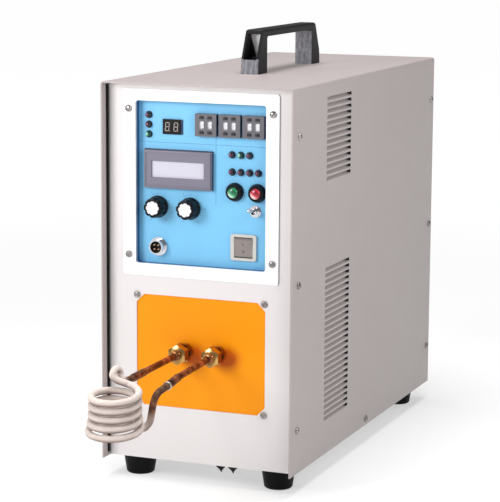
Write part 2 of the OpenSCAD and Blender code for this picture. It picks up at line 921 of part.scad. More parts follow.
module toggle_switch() {
    color([0.80, 0.80, 0.82]) on_plate(toggle_x, toggle_z) difference() {
        union() {
            translate([-toggle_body_w / 2, -toggle_body_h / 2, -pan_t - toggle_body_d])
                cube([toggle_body_w, toggle_body_h, toggle_body_d]);
            translate([0, 0, -pan_t - over]) cylinder(d = toggle_bushing_d, h = pan_t + toggle_bushing_out + over);
            cylinder(d = toggle_washer_d, h = toggle_washer_t);
            linear_extrude(toggle_washer_t + toggle_nut_t) circle(d = toggle_nut_d, $fn = 6);
        }
        translate([0, 0, toggle_pivot - toggle_ball_d]) cylinder(d = toggle_bore_d, h = toggle_bushing_out);
        translate([-toggle_bushing_d / 2 - over, 0, toggle_pivot]) rotate([0, 90, 0])
            cylinder(d = toggle_pin_d + 2 * run_gap, h = toggle_bushing_d + 2 * over, $fn = 24);
    }
}

module toggle_lever() {
    color([0.86, 0.86, 0.88]) on_plate(toggle_x, toggle_z)
        translate([0, 0, toggle_pivot]) rotate([-toggle_tilt, 0, 0]) {
            sphere(d = toggle_ball_d);
            rotate([0, 90, 0]) translate([0, 0, run_gap - toggle_bushing_d / 2])
                cylinder(d = toggle_pin_d, h = toggle_bushing_d - 2 * run_gap, $fn = 24);
            cylinder(d1 = toggle_lever_d, d2 = toggle_tip_d, h = toggle_lever_len);
            translate([0, 0, toggle_lever_len]) sphere(d = toggle_tip_d);
        }
}

module socket_shell() {
    color([0.82, 0.82, 0.84]) on_plate(socket_x, socket_z) {
        difference() {
            union() {
                translate([0, 0, -pan_t - socket_back]) cylinder(d = socket_d, h = pan_t + socket_back + socket_out);
                cylinder(d = socket_flange_d, h = socket_flange_t);
            }
            translate([0, 0, -pan_t - socket_back - over])
                cylinder(d = socket_bore_d, h = pan_t + socket_back + socket_out + 2 * over);
        }
        translate([0, 0, -pan_t - socket_nut_t]) difference() {
            linear_extrude(socket_nut_t) hexagon(socket_flange_d);
            translate([0, 0, -over]) cylinder(d = socket_d + 2 * run_gap, h = socket_nut_t + 2 * over);
        }
    }
}

module socket_insert() {
    color([0.12, 0.11, 0.11]) on_plate(socket_x, socket_z) {
        translate([0, 0, -pan_t - socket_back])
            cylinder(d = socket_bore_d - 2 * run_gap, h = pan_t + socket_back + socket_out - insert_in - pin_len);
        for (a = [45:90:315]) rotate(a) translate([pin_ring_d / 2, 0, 0])
            cylinder(d = pin_d, h = socket_out - insert_in, $fn = 16);
    }
}

module rocker_frame() {
    color([0.80, 0.79, 0.74]) on_plate(rocker_x, rocker_z) difference() {
        union() {
            linear_extrude(rocker_out) round_rect(rocker_w, rocker_h, rocker_r);
            translate([-rocker_body_w / 2, -rocker_body_h / 2, -rocker_body_d])
                cube([rocker_body_w, rocker_body_h, rocker_body_d]);
        }
        translate([-rocker_open_w / 2, -rocker_open_h / 2, rocker_floor - rocker_body_d])
            cube([rocker_open_w, rocker_open_h, rocker_body_d + rocker_out]);
        translate([-rocker_body_w / 2 - over, 0, -rocker_pivot_in]) rotate([0, 90, 0])
            cylinder(d = rocker_pin_d + 2 * run_gap, h = rocker_body_w + 2 * over, $fn = 24);
    }
}

module rocker_key() {
    color([0.62, 0.61, 0.60]) on_plate(rocker_x, rocker_z)
        translate([0, 0, -rocker_pivot_in]) rotate([rocker_tilt, 0, 0]) {
            translate([-rocker_key_w / 2, 0, 0]) rotate([90, 0, 90]) linear_extrude(rocker_key_w) intersection() {
                circle(d = rocker_swing_d);
                polygon([
                    [-rocker_swing_d, -rocker_back],
                    [rocker_swing_d, -rocker_back],
                    [rocker_swing_d, rocker_pivot_in + rocker_face],
                    [0, rocker_pivot_in + rocker_face / 2],
                    [-rocker_swing_d, rocker_pivot_in + rocker_face]]);
            }
            rotate([0, 90, 0]) translate([0, 0, -rocker_body_w / 2])
                cylinder(d = rocker_pin_d, h = rocker_body_w, $fn = 24);
        }
}

module digit_display() {
    color([0.05, 0.04, 0.05]) on_plate(display_x, display_z) difference() {
        union() {
            translate([-display_w / 2, -display_h / 2, 0]) cube([display_w, display_h, display_out]);
            translate([-display_w / 2 + 1 + seat_gap, -display_h / 2 + 1 + seat_gap, -display_back])
                cube([display_w - 2 - 2 * seat_gap, display_h - 2 - 2 * seat_gap, display_back + display_out]);
        }
        for (s = [-1, 1])
            translate([s * display_digit_x - display_window_w / 2, -display_window_h / 2, display_out - display_window_in])
                cube([display_window_w, display_window_h, display_out]);
    }
}

module meter_bezel() {
    color([0.62, 0.61, 0.66]) on_plate(meter_x, meter_z) difference() {
        union() {
            translate([-meter_w / 2, -meter_h / 2, 0]) cube([meter_w, meter_h, meter_out - meter_ridge]);
            translate([-meter_w / 2 + meter_ridge_in / 2, -meter_h / 2 + meter_ridge_in / 2, 0])
                cube([meter_w - meter_ridge_in, meter_h - meter_ridge_in, meter_out]);
            translate([-meter_body_w / 2, -meter_body_h / 2, -meter_body_d])
                cube([meter_body_w, meter_body_h, meter_body_d + over]);
        }
        translate([-meter_w / 2 + meter_ridge_in, -meter_h / 2 + meter_ridge_in, meter_out - meter_ridge / 2])
            cube([meter_w - 2 * meter_ridge_in, meter_h - 2 * meter_ridge_in, meter_out]);
        translate([-meter_open_w / 2, -meter_open_h / 2, 0]) cube([meter_open_w, meter_open_h, 2 * meter_out]);
        translate([-meter_screen_w / 2 - run_gap, -meter_screen_h / 2 - run_gap, -meter_body_d - over])
            cube([meter_screen_w + 2 * run_gap, meter_screen_h + 2 * run_gap,
                meter_body_d + meter_out - meter_ridge - meter_face_t + over]);
    }
}

module meter_screen() {
    color([0.86, 0.85, 0.93]) on_plate(meter_x, meter_z)
        translate([-meter_screen_w / 2, -meter_screen_h / 2, meter_out - meter_ridge - meter_face_t - meter_screen_t])
            cube([meter_screen_w, meter_screen_h, meter_screen_t]);
}

module lamps(red) {
    for (p = lamp_places(red)) on_plate(p[0], p[1]) {
        cylinder(d = lamp_flange_d, h = lamp_flange_t);
        translate([0, 0, -lamp_back]) cylinder(d = lamp_d, h = lamp_back + lamp_out);
        intersection() {
            translate([0, 0, lamp_out]) sphere(d = lamp_d);
            cylinder(d = lamp_flange_d, h = lamp_flange_d);
        }
    }
}

module red_lamps() {
    color([0.45, 0.06, 0.14]) lamps(true);
}

module green_lamps() {
    color([0.06, 0.45, 0.32]) lamps(false);
}

// Digits run from 1 at the left to 6 at the right, two in each block
function digit_place(i) = thumb_x_list[floor((i - 1) / 2)] + ((i - 1) % 2 == 0 ? -1 : 1) * digit_x;
wheel_centre = thumb_out - thumb_face_t - wheel_drop - wheel_d / 2;

module thumbwheel_frames() {
    key_hole_w = key_w + 2 * seat_gap;
    key_hole_h = key_h + 2 * seat_gap;
    wheel_room = wheel_d + 2 * seat_gap;
    color([0.50, 0.50, 0.52]) for (x = thumb_x_list) on_plate(x, thumb_z) difference() {
        union() {
            linear_extrude(thumb_out) round_rect(thumb_w, thumb_h, thumb_r);
            translate([-thumb_body_w / 2, -thumb_body_h / 2, -thumb_body_d])
                cube([thumb_body_w, thumb_body_h, thumb_body_d + over]);
        }
        for (s = [-1, 1]) translate([s * digit_x, 0, 0]) {
            difference() {
                translate([-wheel_w / 2 - seat_gap, 0, wheel_centre]) rotate([0, 90, 0])
                    cylinder(d = wheel_room, h = wheel_w + 2 * seat_gap);
                translate([-wheel_w, 0, wheel_centre]) rotate([0, 90, 0])
                    cylinder(d = wheel_bore_d - 2 * run_gap, h = 2 * wheel_w);
            }
            translate([-digit_window_w / 2, -digit_window_h / 2, wheel_centre + wheel_d / 4])
                cube([digit_window_w, digit_window_h, 2 * thumb_out - wheel_centre]);
            for (k = [-1, 1]) translate([0, k * key_z, 0]) {
                translate([-key_hole_w / 2, -key_hole_h / 2, thumb_out - thumb_face_t - over])
                    cube([key_hole_w, key_hole_h, thumb_face_t + 2 * over]);
                translate([-key_hole_w / 2 - key_flange, -key_hole_h / 2 - key_flange, thumb_out - thumb_face_t - key_pocket_d])
                    cube([key_hole_w + 2 * key_flange, key_hole_h + 2 * key_flange, key_pocket_d]);
            }
        }
    }
}

module digit_wheel(i) {
    color([0.93, 0.93, 0.92]) on_plate(digit_place(i), thumb_z)
        translate([-wheel_w / 2, 0, wheel_centre]) rotate([0, 90, 0]) tube(wheel_d, wheel_bore_d, wheel_w);
}

module digit_key(i, side) {
    color([0.07, 0.07, 0.08]) on_plate(digit_place(i), thumb_z + side * key_z) {
        translate([-key_w / 2, -key_h / 2, thumb_out - thumb_face_t - over]) cube([key_w, key_h, thumb_face_t + key_out + over]);
        translate([-key_w / 2 - key_flange, -key_h / 2 - key_flange, thumb_out - thumb_face_t - seat_gap - key_flange_t])
            cube([key_w + 2 * key_flange, key_h + 2 * key_flange, key_flange_t]);
    }
}

module output_unions() {
    color([0.80, 0.62, 0.28]) for (s = [-1, 1]) out_front(s * output_gap / 2, insulator_y, union_z) {
        difference() {
            union() {
                linear_extrude(union_hex_t) hexagon(union_af);
                translate([0, 0, -union_shank_len]) cylinder(d = shank_d, h = union_shank_len + union_hex_t);
                cylinder(d = union_neck_d, h = union_hex_t + union_neck_t);
            }
            translate([0, 0, -union_shank_len - over])
                cylinder(d = tube_d + 2 * run_gap, h = union_shank_len + union_hex_t + union_neck_t + 2 * over);
        }
        translate([0, 0, union_hex_t + union_neck_t]) difference() {
            intersection() {
                linear_extrude(union_nut_t) rotate(30) hexagon(union_af);
                rotate_extrude() polygon([
                    [0, 0],
                    [union_af / 2 + union_nut_chamfer, 0],
                    [union_af / 2 + union_nut_chamfer, union_nut_t - union_nut_chamfer],
                    [union_af / 2 - union_nut_chamfer, union_nut_t],
                    [0, union_nut_t]]);
            }
            translate([0, 0, -over]) cylinder(d = tube_d + 2 * run_gap, h = union_nut_t + 2 * over);
        }
    }
}

// Route of the copper tube
function mix(a, b, t) = a + (b - a) * t;
function curve(a, b, c, d, t) = 0.5 * (2 * b + (c - a) * t + (2 * a - 5 * b + 4 * c - d) * t * t
    + (3 * b - a - 3 * c + d) * t * t * t);
function smooth(points) = [for (i = [1:len(points) - 3], k = [0:curve_steps - 1])
    curve(points[i - 1], points[i], points[i + 1], points[i + 2], k / curve_steps)];
function coil_radius(turn) = coil_r
    + coil_flare * pow(max(0, (turn - flare_from) / (coil_turns - flare_from)), flare_power);
function coil_point(turn) =
    let (a = coil_start - 360 * turn, r = coil_radius(turn), x = r * cos(a), y = r * sin(a))
    coil_c + [x, y, y * tan(coil_lean) - x * tan(coil_tip) - coil_pitch * turn];

tube_front = insulator_y - union_hex_t - union_neck_t - union_nut_t;
tube_start = insulator_y - union_hex_t / 2;
tube_end = cover_front - tube_end_out;
left_x = -output_gap / 2;
right_x = output_gap / 2;
left_end = [left_x, tube_end, base_z + left_end_rise];
left_mid = [left_x, tube_end + coupling_len, base_z + left_mid_rise];
right_end = [right_x, tube_end, base_z + right_end_rise];
right_mid = [right_x, tube_end + coupling_len, base_z + right_mid_rise];
near_share = 0.2;

// The sleeve's loop between the left coupling and the coil, as shares of its width, depth and height
tail_size = [13, 20.5, 11.3];
tail_shares = [[0.19, 0.32, -0.09], [0.54, 0.44, -0.04], [0.82, 0.34, 0.31], [0.89, 0.34, 0.69],
    [0.96, 0.59, 1], [1, 0.88, 0.81], [0.96, 1, 0.45], [0.62, 0.96, 0.1]];
tail = [for (p = tail_shares) left_end + [-p[0] * tail_size[0], -p[1] * tail_size[1], p[2] * tail_size[2]]];

// The lead from the coil's lowest turn up to the right coupling, as shares of the way between them
lead_shares = [[0.26, 0.46, -0.03], [0.424, 0.5, -0.03], [0.545, 0.56, 0.045], [0.69, 0.67, 0.19],
    [0.765, 0.79, 0.328], [0.84, 0.9, 0.504], [0.92, 1, 0.708], [0.971, 0.93, 0.876], [1, 0.69, 0.963]];
lead_depth = 28;
coil_end = coil_point(coil_turns);
lead = [for (p = lead_shares) [
    mix(coil_end[0], right_end[0], p[0]),
    right_end[1] - p[1] * lead_depth,
    mix(coil_end[2], right_end[2], p[2])]];

coil_points = [for (k = [0:coil_turns * steps - 1]) coil_point(k / steps)];
before = concat([mix(left_end, left_mid, near_share), left_end], tail, [coil_points[0], coil_points[1]]);
after = concat([coil_points[coil_turns * steps - 1], coil_end], lead, [right_end, mix(right_end, right_mid, near_share)]);
tube_route = concat(
    [[left_x, tube_start, union_z], [left_x, tube_front, union_z], left_mid, before[0]],
    smooth(before), coil_points, smooth(after),
    [right_end, after[len(after) - 1], right_mid, [right_x, tube_front, union_z], [right_x, tube_start, union_z]]);
sleeve_from = 4;
sleeve_to = len(tube_route) - 6;

function unit(v) = v / norm(v);
function tangents(p) = [for (i = [0:len(p) - 1]) unit(p[min(i + 1, len(p) - 1)] - p[max(i - 1, 0)])];
function square_to(n, t) = unit(n - (n * t) * t);
function normals(t) = [for (i = 0, n = square_to([0, 0, 1], t[0]); i < len(t);
    i = i + 1, n = i < len(t) ? square_to(n, t[i]) : n) n];
function ring(p, t, n, r) = [for (k = [0:tube_sides - 1])
    let (a = 360 * k / tube_sides) p + r * (n * cos(a) + cross(t, n) * sin(a))];
function rings(p, r) = let (t = tangents(p), n = normals(t))
    [for (i = [0:len(p) - 1]) each ring(p[i], t[i], n[i], r)];
function wall_faces(count, base, flip) = [for (i = [0:count - 2], k = [0:tube_sides - 1])
    let (a = base + i * tube_sides + k, b = base + i * tube_sides + (k + 1) % tube_sides,
        c = a + tube_sides, d = b + tube_sides)
    each (flip ? [[a, c, b], [b, c, d]] : [[a, b, c], [b, d, c]])];

// A closed round bar along the points
module bar(p, r) {
    n = len(p);
    polyhedron(rings(p, r), concat(
        wall_faces(n, 0, false),
        [for (k = [1:tube_sides - 2]) [0, k + 1, k]],
        [for (k = [1:tube_sides - 2]) [0, k, k + 1] + [1, 1, 1] * (n - 1) * tube_sides]));
}

// A hollow sleeve along the points
module hollow_bar(p, r, bore) {
    n = len(p);
    last = (n - 1) * tube_sides;
    inner = n * tube_sides;
    polyhedron(concat(rings(p, r), rings(p, bore)), concat(
        wall_faces(n, 0, false),
        wall_faces(n, inner, true),
        [for (k = [0:tube_sides - 1], h = [0, 1])
            let (b = (k + 1) % tube_sides)
            h == 0 ? [k, inner + k, b] : [b, inner + k, inner + b]],
        [for (k = [0:tube_sides - 1], h = [0, 1])
            let (b = (k + 1) % tube_sides)
            h == 0 ? [last + k, last + b, inner + last + k] : [last + b, inner + last + b, inner + last + k]]));
}

sleeve_end_gap = 0.6;
sleeve_route = concat(
    [tube_route[sleeve_from] + sleeve_end_gap * unit(tube_route[sleeve_from + 1] - tube_route[sleeve_from])],
    [for (i = [sleeve_from + 1:sleeve_to]) tube_route[i]]);

module work_coil() {
    color([0.62, 0.33, 0.20]) bar(tube_route, tube_d / 2);
}

module coil_sleeve() {
    color([0.93, 0.89, 0.85]) hollow_bar(sleeve_route, sleeve_d / 2, tube_d / 2 + sleeve_gap);
}

// Least distance from the sleeve to itself, measured on its rings
near_steps = 12;
sleeve_gap_to_itself = min([for (i = [0:len(sleeve_route) - 1], j = [i + near_steps:1:len(sleeve_route) - 1])
    norm(sleeve_route[i] - sleeve_route[j])]) - sleeve_d;
echo(sleeve_gap_to_itself = sleeve_gap_to_itself);

module coupling(a, b) {
    axis = b - a;
    translate(a) rotate([0, acos(axis[2] / norm(axis)), atan2(axis[1], axis[0])]) difference() {
        rotate_extrude() polygon([
            [0, 0],
            [coupling_d / 2 - coupling_nose, 0],
            [coupling_d / 2, coupling_nose],
            [coupling_d / 2, norm(axis) - coupling_nose],
            [coupling_d / 2 - coupling_nose, norm(axis)],
            [0, norm(axis)]]);
        translate([0, 0, -over]) cylinder(d = tube_d + 2 * run_gap, h = norm(axis) + 2 * over);
    }
}

module coil_couplings() {
    color([0.50, 0.27, 0.17]) {
        coupling(left_mid, left_end);
        coupling(right_mid, right_end);
    }
}

fan_y = rear_y - sheet - fan_t;
fan_bore_d = fan_side - 2 * fan_wall;

module fan_frame() {
    color([0.09, 0.09, 0.10]) difference() {
        union() {
            along_y(fan_y, fan_t) translate([0, fan_centre_z]) difference() {
                round_rect(fan_side, fan_side, fan_wall + fan_wall);
                circle(d = fan_bore_d, $fn = 96);
            }
            along_y(fan_y + fan_t - fan_boss_t, fan_boss_t) translate([0, fan_centre_z]) {
                circle(d = fan_boss_d);
                for (a = [45, 135]) rotate(a) square([fan_bore_d + fan_wall, fan_strut_w], center = true);
            }
            out_rear(0, fan_y + fan_t - fan_boss_t - fan_boss_hole, fan_centre_z)
                cylinder(d = fan_shaft_d + 4 * fan_wall, h = fan_boss_hole + fan_boss_t);
        }
        out_rear(0, fan_y + fan_t - fan_boss_t - fan_boss_hole - over, fan_centre_z)
            cylinder(d = fan_shaft_d + 2 * run_gap, h = fan_boss_hole + over);
        for (sx = [-1, 1], sz = [-1, 1])
            out_rear(sx * fan_hole_out, fan_y - over, fan_centre_z + sz * fan_hole_out)
                cylinder(d = fan_hole_d, h = fan_t + 2 * over, $fn = 24);
    }
}

module fan_rotor() {
    rotor_t = fan_t - fan_boss_t - 2 * fan_end_gap;
    tip_d = fan_bore_d - 2 * fan_tip_gap;
    boss_room = fan_shaft_d + 4 * fan_wall + 2 * seat_gap + 2 * fan_hub_wall;
    color([0.07, 0.07, 0.08]) out_rear(0, fan_y + fan_end_gap, fan_centre_z) {
        difference() {
            cylinder(d = fan_hub_d, h = rotor_t);
            translate([0, 0, fan_hub_wall]) cylinder(d = fan_hub_d - 2 * fan_hub_wall, h = rotor_t);
        }
        cylinder(d = boss_room, h = rotor_t - fan_boss_hole - 2 * fan_end_gap);
        cylinder(d = fan_shaft_d, h = rotor_t + fan_end_gap - seat_gap);
        for (i = [0:fan_blades - 1]) rotate(i * 360 / fan_blades) intersection() {
            tube(tip_d, fan_hub_d - fan_hub_wall, rotor_t);
            translate([0, 0, rotor_t / 2]) rotate([fan_blade_tilt, 0, 0])
                translate([0, -fan_blade_w / 2, -fan_blade_t / 2]) cube([tip_d, fan_blade_w, fan_blade_t]);
        }
    }
}

module water_nozzles() {
    color([0.80, 0.62, 0.28]) for (x = nozzle_x_list) out_rear(x, rear_y, base_z + nozzle_z) {
        difference() {
            union() {
                linear_extrude(nozzle_hex_t) hexagon(nozzle_hex_af);
                translate([0, 0, -nozzle_back]) cylinder(d = nozzle_thread_d, h = nozzle_back + nozzle_hex_t);
                rotate_extrude() {
                    square([nozzle_neck_d / 2, nozzle_out]);
                    for (i = [0:nozzle_barbs - 1]) translate([0, nozzle_out - (i + 1) * nozzle_barb_pitch])
                        polygon([[0, 0], [nozzle_d / 2, 0], [nozzle_neck_d / 2, nozzle_barb_pitch], [0, nozzle_barb_pitch]]);
                }
            }
            translate([0, 0, -nozzle_back - over]) cylinder(d = nozzle_bore_d, h = nozzle_back + nozzle_out + 2 * over);
        }
        translate([0, 0, -sheet - nozzle_nut_t]) difference() {
            linear_extrude(nozzle_nut_t) hexagon(nozzle_hex_af);
            translate([0, 0, -over]) cylinder(d = nozzle_thread_d + 2 * run_gap, h = nozzle_nut_t + 2 * over);
        }
    }
}

module cable_gland() {
    color([0.08, 0.08, 0.09]) out_rear(gland_x, rear_y, base_z + gland_z) {
        difference() {
            union() {
                linear_extrude(gland_hex_t) hexagon(gland_hex_af);
                translate([0, 0, -gland_back]) cylinder(d = gland_thread_d, h = gland_back + gland_hex_t);
                rotate_extrude() polygon([
                    [0, gland_hex_t],
                    [gland_dome_d / 2, gland_hex_t],
                    [gland_dome_d / 2, gland_hex_t + gland_dome_t / 2],
                    [gland_bore_d / 2 + 2 * sheet, gland_hex_t + gland_dome_t],
                    [0, gland_hex_t + gland_dome_t]]);
            }
            translate([0, 0, -gland_back - over])
                cylinder(d = gland_bore_d, h = gland_back + gland_hex_t + gland_dome_t + 2 * over);
        }
        translate([0, 0, -sheet - gland_nut_t]) difference() {
            linear_extrude(gland_nut_t) hexagon(gland_hex_af);
            translate([0, 0, -over]) cylinder(d = gland_thread_d + 2 * run_gap, h = gland_nut_t + 2 * over);
        }
    }
}

module output_transformer() {
    front = insulator_y + union_shank_len;
    bottom = union_z - core_h / 2;
    color([0.25, 0.25, 0.27]) difference() {
        along_y(front + core_edge, core_d) translate([0, union_z]) difference() {
            round_rect(core_w, core_h, core_edge);
            for (s = [-1, 1]) translate([s * output_gap / 2, 0]) circle(d = core_bar_d + 2 * run_gap);
        }
    }
    color([0.25, 0.25, 0.27]) for (s = [0, 1])
        translate([s * (core_w - core_leg_w) - core_w / 2, front + core_edge, tray_top])
            cube([core_leg_w, core_d, bottom - tray_top]);
    color([0.70, 0.40, 0.25]) for (s = [-1, 1]) out_rear(s * output_gap / 2, front, union_z)
        cylinder(d = core_bar_d, h = core_d + 2 * core_edge);
    color([0.85, 0.84, 0.78]) for (s = [-1, 1])
        translate([s * (capacitor_d + capacitor_gap) / 2, front + core_edge + core_d / 2, union_z + core_h / 2])
            cylinder(d = capacitor_d, h = capacitor_h);
}

module power_module() {
    y = tray_rear - module_back - module_d;
    color([0.78, 0.79, 0.80]) difference() {
        translate([-module_w / 2, y, tray_top]) cube([module_w, module_d, module_h]);
        for (s = [-1, 1]) out_rear(s * module_w / 4, y + module_d, tray_top + module_h / 2)
            translate([0, 0, -module_d / 2]) cylinder(d = module_port_d / 2, h = module_d);
    }
    for (s = [-1, 1]) {
        color([0.80, 0.62, 0.28]) out_rear(s * module_w / 4, y + module_d, tray_top + module_h / 2)
            tube(module_port_d, module_port_d / 2, module_port_len);
        color([0.12, 0.12, 0.13]) translate([s * (module_block_w + module_block_gap) / 2 - module_block_w / 2,
            y + (module_d - module_block_d) / 2, tray_top + module_h])
            cube([module_block_w, module_block_d, module_block_h]);
        color([0.75, 0.45, 0.28]) translate([s * (module_block_w + module_block_gap) / 2 - module_block_w / 4,
            y + (module_d - module_block_d) / 2 + module_block_gap, tray_top + module_h + module_block_h])
            cube([module_block_w / 2, module_block_d - 2 * module_block_gap, module_bar_t]);
    }
}

module control_board() {
    color([0.12, 0.42, 0.24]) on_plate(0, 0)
        translate([-board_w / 2, -board_h / 2, -pan_t - board_out - board_t]) cube([board_w, board_h, board_t]);
    color([0.15, 0.15, 0.16]) for (p = board_parts_share) on_plate(p[0] * board_w, p[1] * board_h)
        translate([0, -board_part_h / 2, -pan_t - board_out - board_t - board_part_d])
            cube([board_part_w, board_part_h, board_part_d]);
}

cover();
base_plate();
front_panel();
rear_panel();
bezel_plate();
control_plate();
insulating_plate();
handle();
rubber_feet();
case_screws();
base_clips();
knob(knob_x_list[0]);  // knob_left
knob(knob_x_list[1]);  // knob_right
knob_cap(knob_x_list[0]);  // knob_cap_left
knob_cap(knob_x_list[1]);  // knob_cap_right
potentiometers();
start_button();
stop_button();
button_collars();
toggle_switch();
toggle_lever();
socket_shell();
socket_insert();
rocker_frame();
rocker_key();
digit_display();
meter_bezel();
meter_screen();
red_lamps();
green_lamps();
thumbwheel_frames();
for (i = [1:6]) {
    digit_wheel(i);
    digit_key(i, 1);
    digit_key(i, -1);
}
output_unions();
work_coil();
coil_sleeve();
coil_couplings();
fan_frame();
fan_rotor();
water_nozzles();
cable_gland();
output_transformer();
power_module();
control_board();
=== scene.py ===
import math
import bmesh
import bpy
from mathutils import Matrix, Vector
from mathutils.bvhtree import BVHTree


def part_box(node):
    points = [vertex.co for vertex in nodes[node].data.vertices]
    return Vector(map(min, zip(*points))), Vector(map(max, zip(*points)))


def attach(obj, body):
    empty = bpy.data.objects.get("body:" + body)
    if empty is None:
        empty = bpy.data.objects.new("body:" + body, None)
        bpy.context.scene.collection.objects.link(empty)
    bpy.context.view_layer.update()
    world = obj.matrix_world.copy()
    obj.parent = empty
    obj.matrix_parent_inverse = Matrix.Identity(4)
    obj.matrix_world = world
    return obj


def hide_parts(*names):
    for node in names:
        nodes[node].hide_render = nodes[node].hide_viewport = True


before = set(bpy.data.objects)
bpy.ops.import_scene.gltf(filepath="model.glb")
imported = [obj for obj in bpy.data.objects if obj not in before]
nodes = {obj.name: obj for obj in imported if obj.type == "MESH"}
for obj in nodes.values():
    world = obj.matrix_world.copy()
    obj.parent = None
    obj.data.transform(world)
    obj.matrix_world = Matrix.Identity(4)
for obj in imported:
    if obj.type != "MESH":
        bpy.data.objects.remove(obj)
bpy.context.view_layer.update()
mm = 0.001

# Places shared by several pieces, in mm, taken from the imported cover
coverLow, coverHigh = [Vector(corner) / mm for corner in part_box("cover")]
frontY = coverLow.y
rearY = coverHigh.y
bottomZ = coverLow.z
topZ = coverHigh.z
halfWidth = coverHigh.x
panelY = frontY + 15
bezelY = frontY + 13.5
insulatorY = frontY + 16.5
plateY = frontY + 23.5
windowZ = 328
outputX = 19.3
outputZ = 144.5
fanZ = 322
sides = (-1, 1)
print("frame loaded:", len(nodes), "nodes")


# Wraps a socket, so that arithmetic on it adds Math nodes
class Tone:
    def __init__(self, shade, socket):
        self.shade = shade
        self.socket = socket

    def calc(self, operation, *values):
        return self.shade.node("ShaderNodeMath", {"operation": operation}, dict(enumerate(values)))

    def __add__(self, other):
        return self.calc("ADD", self, other)

    def __radd__(self, other):
        return self.calc("ADD", other, self)

    def __sub__(self, other):
        return self.calc("SUBTRACT", self, other)

    def __rsub__(self, other):
        return self.calc("SUBTRACT", other, self)

    def __mul__(self, other):
        return self.calc("MULTIPLY", self, other)

    def __rmul__(self, other):
        return self.calc("MULTIPLY", other, self)

    def __truediv__(self, other):
        return self.calc("DIVIDE", self, other)

    def __pow__(self, other):
        return self.calc("POWER", self, other)

    def __gt__(self, other):
        return self.calc("GREATER_THAN", self, other)

    def sine(self):
        return self.calc("SINE", self)

    def size(self):
        return self.calc("ABSOLUTE", self)

    def wrap(self):
        return self.calc("FRACT", self)

    def clamp(self):
        return self.shade.node("ShaderNodeClamp", {}, {0: self})


# One material: a Principled surface and the nodes that feed it
class Shade:
    def __init__(self, name):
        self.material = bpy.data.materials.new(name)
        self.material.use_nodes = True
        self.tree = self.material.node_tree
        self.tree.nodes.clear()
        self.bsdf = self.tree.nodes.new("ShaderNodeBsdfPrincipled")
        output = self.tree.nodes.new("ShaderNodeOutputMaterial")
        self.tree.links.new(self.bsdf.outputs[0], output.inputs[0])

    def feed(self, socket, value):
        if isinstance(value, Tone):
            self.tree.links.new(value.socket, socket)
        elif isinstance(value, (tuple, list)) and socket.type == "RGBA" and len(value) == 3:
            socket.default_value = (*value, 1)
        else:
            socket.default_value = value

    def node(self, kind, settings=None, inputs=None, out=0):
        made = self.tree.nodes.new(kind)
        for key, value in (settings or {}).items():
            if key == "stops":
                stops = made.color_ramp.elements
                while len(stops) < len(value):
                    stops.new(0.5)
                for stop, (position, colour) in zip(stops, value):
                    stop.position = position
                    stop.color = (*colour, 1)
            else:
                setattr(made, key, value)
        for key, value in (inputs or {}).items():
            self.feed(made.inputs[key], value)
        return Tone(self, made.outputs[out])

    def axes(self, vector):
        parts = self.node("ShaderNodeSeparateXYZ", {}, {0: vector}).socket.node
        return [Tone(self, parts.outputs[k]) for k in range(3)]

    def spot(self, shift=(0, 0, 0), scale=(1, 1, 1)):
        raw = self.node("ShaderNodeTexCoord", out="Object")
        return self.node("ShaderNodeMapping", {}, {"Vector": raw, "Location": shift, "Scale": scale})

    def here(self):  # x, y and z on the object
        return self.axes(self.spot())

    def about(self, x, z):  # the same, from a middle given in mm
        return self.axes(self.spot(shift=(-x * mm, 0, -z * mm)))

    def facing(self):  # the way the surface looks
        return self.axes(self.node("ShaderNodeTexCoord", out="Normal"))

    def along(self):
        return self.axes(self.node("ShaderNodeUVMap", {"uv_map": "along"}))

    def noise(self, scale, detail=2, roughness=0.5, at=None):
        return self.node("ShaderNodeTexNoise", {}, {
            "Vector": at or self.spot(), "Scale": scale, "Detail": detail, "Roughness": roughness})

    def ramp(self, tone, stops):
        return self.node("ShaderNodeValToRGB", {"stops": stops}, {0: tone})

    def mix(self, first, second, share):
        return self.node("ShaderNodeMix", {"data_type": "RGBA"}, {0: share, 6: first, 7: second}, out=2)

    def band(self, tone, low, high, soft):  # 1 between low and high
        return ((tone - low) / soft).clamp() * ((high - tone) / soft).clamp()

    def relief(self, height, strength, distance):
        return self.node("ShaderNodeBump", {}, {
            "Height": height, "Strength": strength, "Distance": distance})

    def surface(self, **values):
        sockets = {"color": "Base Color", "coat": "Coat Weight", "coatRoughness": "Coat Roughness",
                   "specular": "Specular IOR Level", "glow": "Emission Strength",
                   "glowColour": "Emission Color"}
        for key, value in values.items():
            self.feed(self.bsdf.inputs[sockets.get(key, key.capitalize())], value)
        return self.material


# A screen colour, 0 to 255, as linear light
def ink(red, green, blue):
    return tuple(c / 12.92 if c <= 0.04045 else ((c + 0.055) / 1.055) ** 2.4
                 for c in (red / 255, green / 255, blue / 255))


def dim(colour, share):
    return tuple(channel * share for channel in colour)


# Powder-coated steel: fine orange peel, a slow drift of tone and rare dark specks
def paint(name, colour, roughness, grain, coat, edge=None):
    shade = Shade(name)
    tone = shade.mix(dim(colour, 0.95), dim(colour, 1.025), shade.noise(7, 3))
    if edge:  # painted shade on the faces that look right
        tone = shade.mix(tone, edge, ((shade.facing()[0] - 0.4) * 4).clamp())
    tone = shade.mix(tone, dim(colour, 0.8), (shade.noise(2600, 1) > 0.7) * 0.3)
    return shade.surface(
        color=tone, roughness=shade.noise(35, 4) * 0.12 + (roughness - 0.06),
        normal=shade.relief(shade.noise(1100, 2, 0.6), grain, 0.00006), coat=coat)


